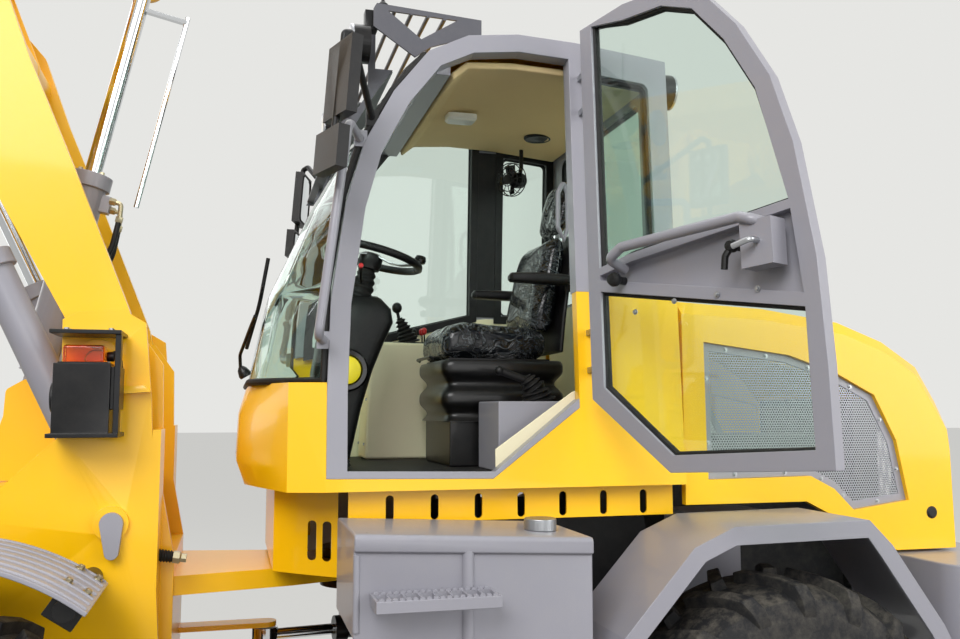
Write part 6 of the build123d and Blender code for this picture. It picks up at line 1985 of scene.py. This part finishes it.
    def _bucket(self) -> None:
        """Makes the bucket's bolted cutting edge."""
        x, z = self.lip
        edge = Shape()
        outline = ((x + 0.001, z + 0.0125), (x + 0.07, z + 0.0265), (x + 0.128, z + 0.0265),
                   (x + 0.128, z + 0.036), (x + 0.066, z + 0.036), (x + 0.001, z + 0.016))
        edge.prism(outline, side_plane(0.998), 1.996)
        edge.piece("bucket_cutting_edge", "bucket_body", CUTTING_STEEL, 0.001)
        spots = [(x + 0.1, y, z + 0.036) for y in (-0.9, -0.72, -0.54, -0.36, -0.18, 0.0, 0.18, 0.36, 0.54,
                                                   0.72, 0.9)]
        bolt_heads("bucket_edge_bolts", "bucket_body", spots, [(0.0, 0.0, 1.0)] * len(spots), 0.026)

    def _tower(self) -> None:
        """Makes the hose grommet and ribbed hose on the tower's rear side, with its zinc fittings."""
        boot("tower_hose_cover", "front",
             [(-0.735, -0.36, 1.148), (-0.7, -0.36, 1.138), (-0.65, -0.36, 1.12), (-0.6, -0.355, 1.112)],
             0.021, 0.017, 0.002, 16, RUBBER)
        ring = Shape().lathe([(0.02, -0.02), (0.045, -0.014), (0.05, 0.0), (0.045, 0.012), (0.026, 0.016)],
                             turned((1.0, 0.0, -0.25), (-0.735, -0.36, 1.15)), 28)
        ring.piece("tower_hose_grommet", "front", RUBBER)
        fittings = Shape()
        fittings.lathe([(0.02, 0.0), (0.02, 0.02), (0.014, 0.024), (0.014, 0.04)],
                       turned((1.0, 0.0, -0.15), (-0.6, -0.355, 1.112)), 6)
        fittings.piece("tower_hose_fitting", "front", ZINC, 0.0008)
        aerial = Shape()
        aerial.lathe([(0.018, 0.0), (0.016, 0.012), (0.008, 0.02), (0.0035, 0.03), (0.003, 0.17),
                      (0.005, 0.175), (TIP, 0.182)],
                     Matrix.Translation((0.006, -0.5, 2.862)), 14)
        aerial.piece("roof_aerial", "rear", PLASTIC)

    def build(self) -> None:
        """Makes all the trim."""
        self._wiper()
        self._tank()
        self._mudguards()
        self._hood()
        self._bucket()
        self._tower()


@dataclass
class Studio:
    """Plain pale floor, soft light and the camera at the photograph's place."""

    eye: Point = (-0.44, -3.385, 1.563)
    turn: float = -15.0
    tilt: float = 95.5
    lens: float = 34.69

    def build(self) -> None:
        """Makes the floor, lamps, world and camera."""
        scene = bpy.context.scene
        scene.view_settings.view_transform = "Standard"
        camera = bpy.data.cameras.new("photo_camera")
        camera.lens = self.lens
        camera.sensor_width = 36.0
        holder = placed("photo_camera", camera)
        holder.location = self.eye
        holder.rotation_euler = (math.radians(self.tilt), 0.0, math.radians(self.turn))
        scene.camera = holder
        self._world(scene)
        self._floor()
        for name, place, size, power in (
            ("key", (-3.5, -7.0, 6.5), 5.0, 650.0), ("fill", (6.0, -5.0, 3.5), 5.0, 300.0), ("top",
                                                                                             (0.5, 2.5, 8.0),
                                                                                             6.0, 250.0),
            ("back", (-5.0, 6.0, 4.0), 5.0, 130.0), ("door", (0.5, -9.5, 2.2), 5.0, 110.0),
        ):
            lamp = bpy.data.lights.new(name, "AREA")
            lamp.size = size
            lamp.energy = power
            stand = placed(name, lamp)
            stand.location = place
            aim = Vector((0.0, 0.0, 1.4)) - Vector(place)
            stand.rotation_euler = aim.to_track_quat("-Z", "Y").to_euler()

    @staticmethod
    def _world(scene: bpy.types.Scene) -> None:
        """Makes the pale surroundings."""
        world = bpy.data.worlds.new("studio")
        scene.world = world
        world.use_nodes = True
        board = Board(world.node_tree)
        path = board.add("ShaderNodeLightPath").outputs
        seen = board.maths("MAXIMUM", path["Is Camera Ray"],
                           board.maths("MAXIMUM", path["Is Glossy Ray"], path["Is Transmission Ray"]))
        strength = board.span(seen, 0.0, 1.0, 0.5, 0.9)
        ground = world.node_tree.nodes["Background"]
        ground.inputs[0].default_value = linear("F1F1EE")
        world.node_tree.links.new(strength, ground.inputs[1])

    @staticmethod
    def _floor() -> None:
        """Makes the pale floor."""
        mesh = bpy.data.meshes.new("floor")
        mesh.from_pydata([(-60, -60, 0), (60, -60, 0), (60, 60, 0), (-60, 60, 0)], [], [(0, 1, 2, 3)])
        floor = placed("floor", mesh)
        material = bpy.data.materials.new("studio_floor")
        material.use_nodes = True
        board = Board(material.node_tree)
        path = board.add("ShaderNodeLightPath").outputs
        seen = board.maths("MAXIMUM", path["Is Camera Ray"],
                           board.maths("MAXIMUM", path["Is Glossy Ray"], path["Is Transmission Ray"]))
        glow = board.add("ShaderNodeEmission",
                         {"Color": linear("F1F1EE"), "Strength": board.maths("MULTIPLY", seen, 0.62)})
        matt = board.add("ShaderNodeBsdfDiffuse", {"Color": linear("5E5D5A")})
        both_shaders = board.add("ShaderNodeAddShader", {0: glow.outputs[0], 1: matt.outputs[0]})
        board.tree.links.new(both_shaders.outputs[0],
                             material.node_tree.nodes["Material Output"].inputs["Surface"])
        mesh.materials.append(material)


def main() -> None:
    """Builds the loader's visible pieces and the studio, in order."""
    logging.basicConfig(level=logging.INFO, format="%(message)s")
    Studio().build()
    CarriedPieces().build()
    for end, x in (("front", -1.18), ("rear", 1.18)):
        for side, y in (("left", -0.785), ("right", 0.785)):
            Wheel(f"{end}_{side}", f"wheel_{end}_{side}", x, y).build()
    for part in (GlassSeals(), HoodGrilles(), Seat(), SteeringStand(), CabFittings(), Lights(), DoorTrim(),
                 FrontDetails(), Trim()):
        part.build()


if __name__ == "__main__":
    main()
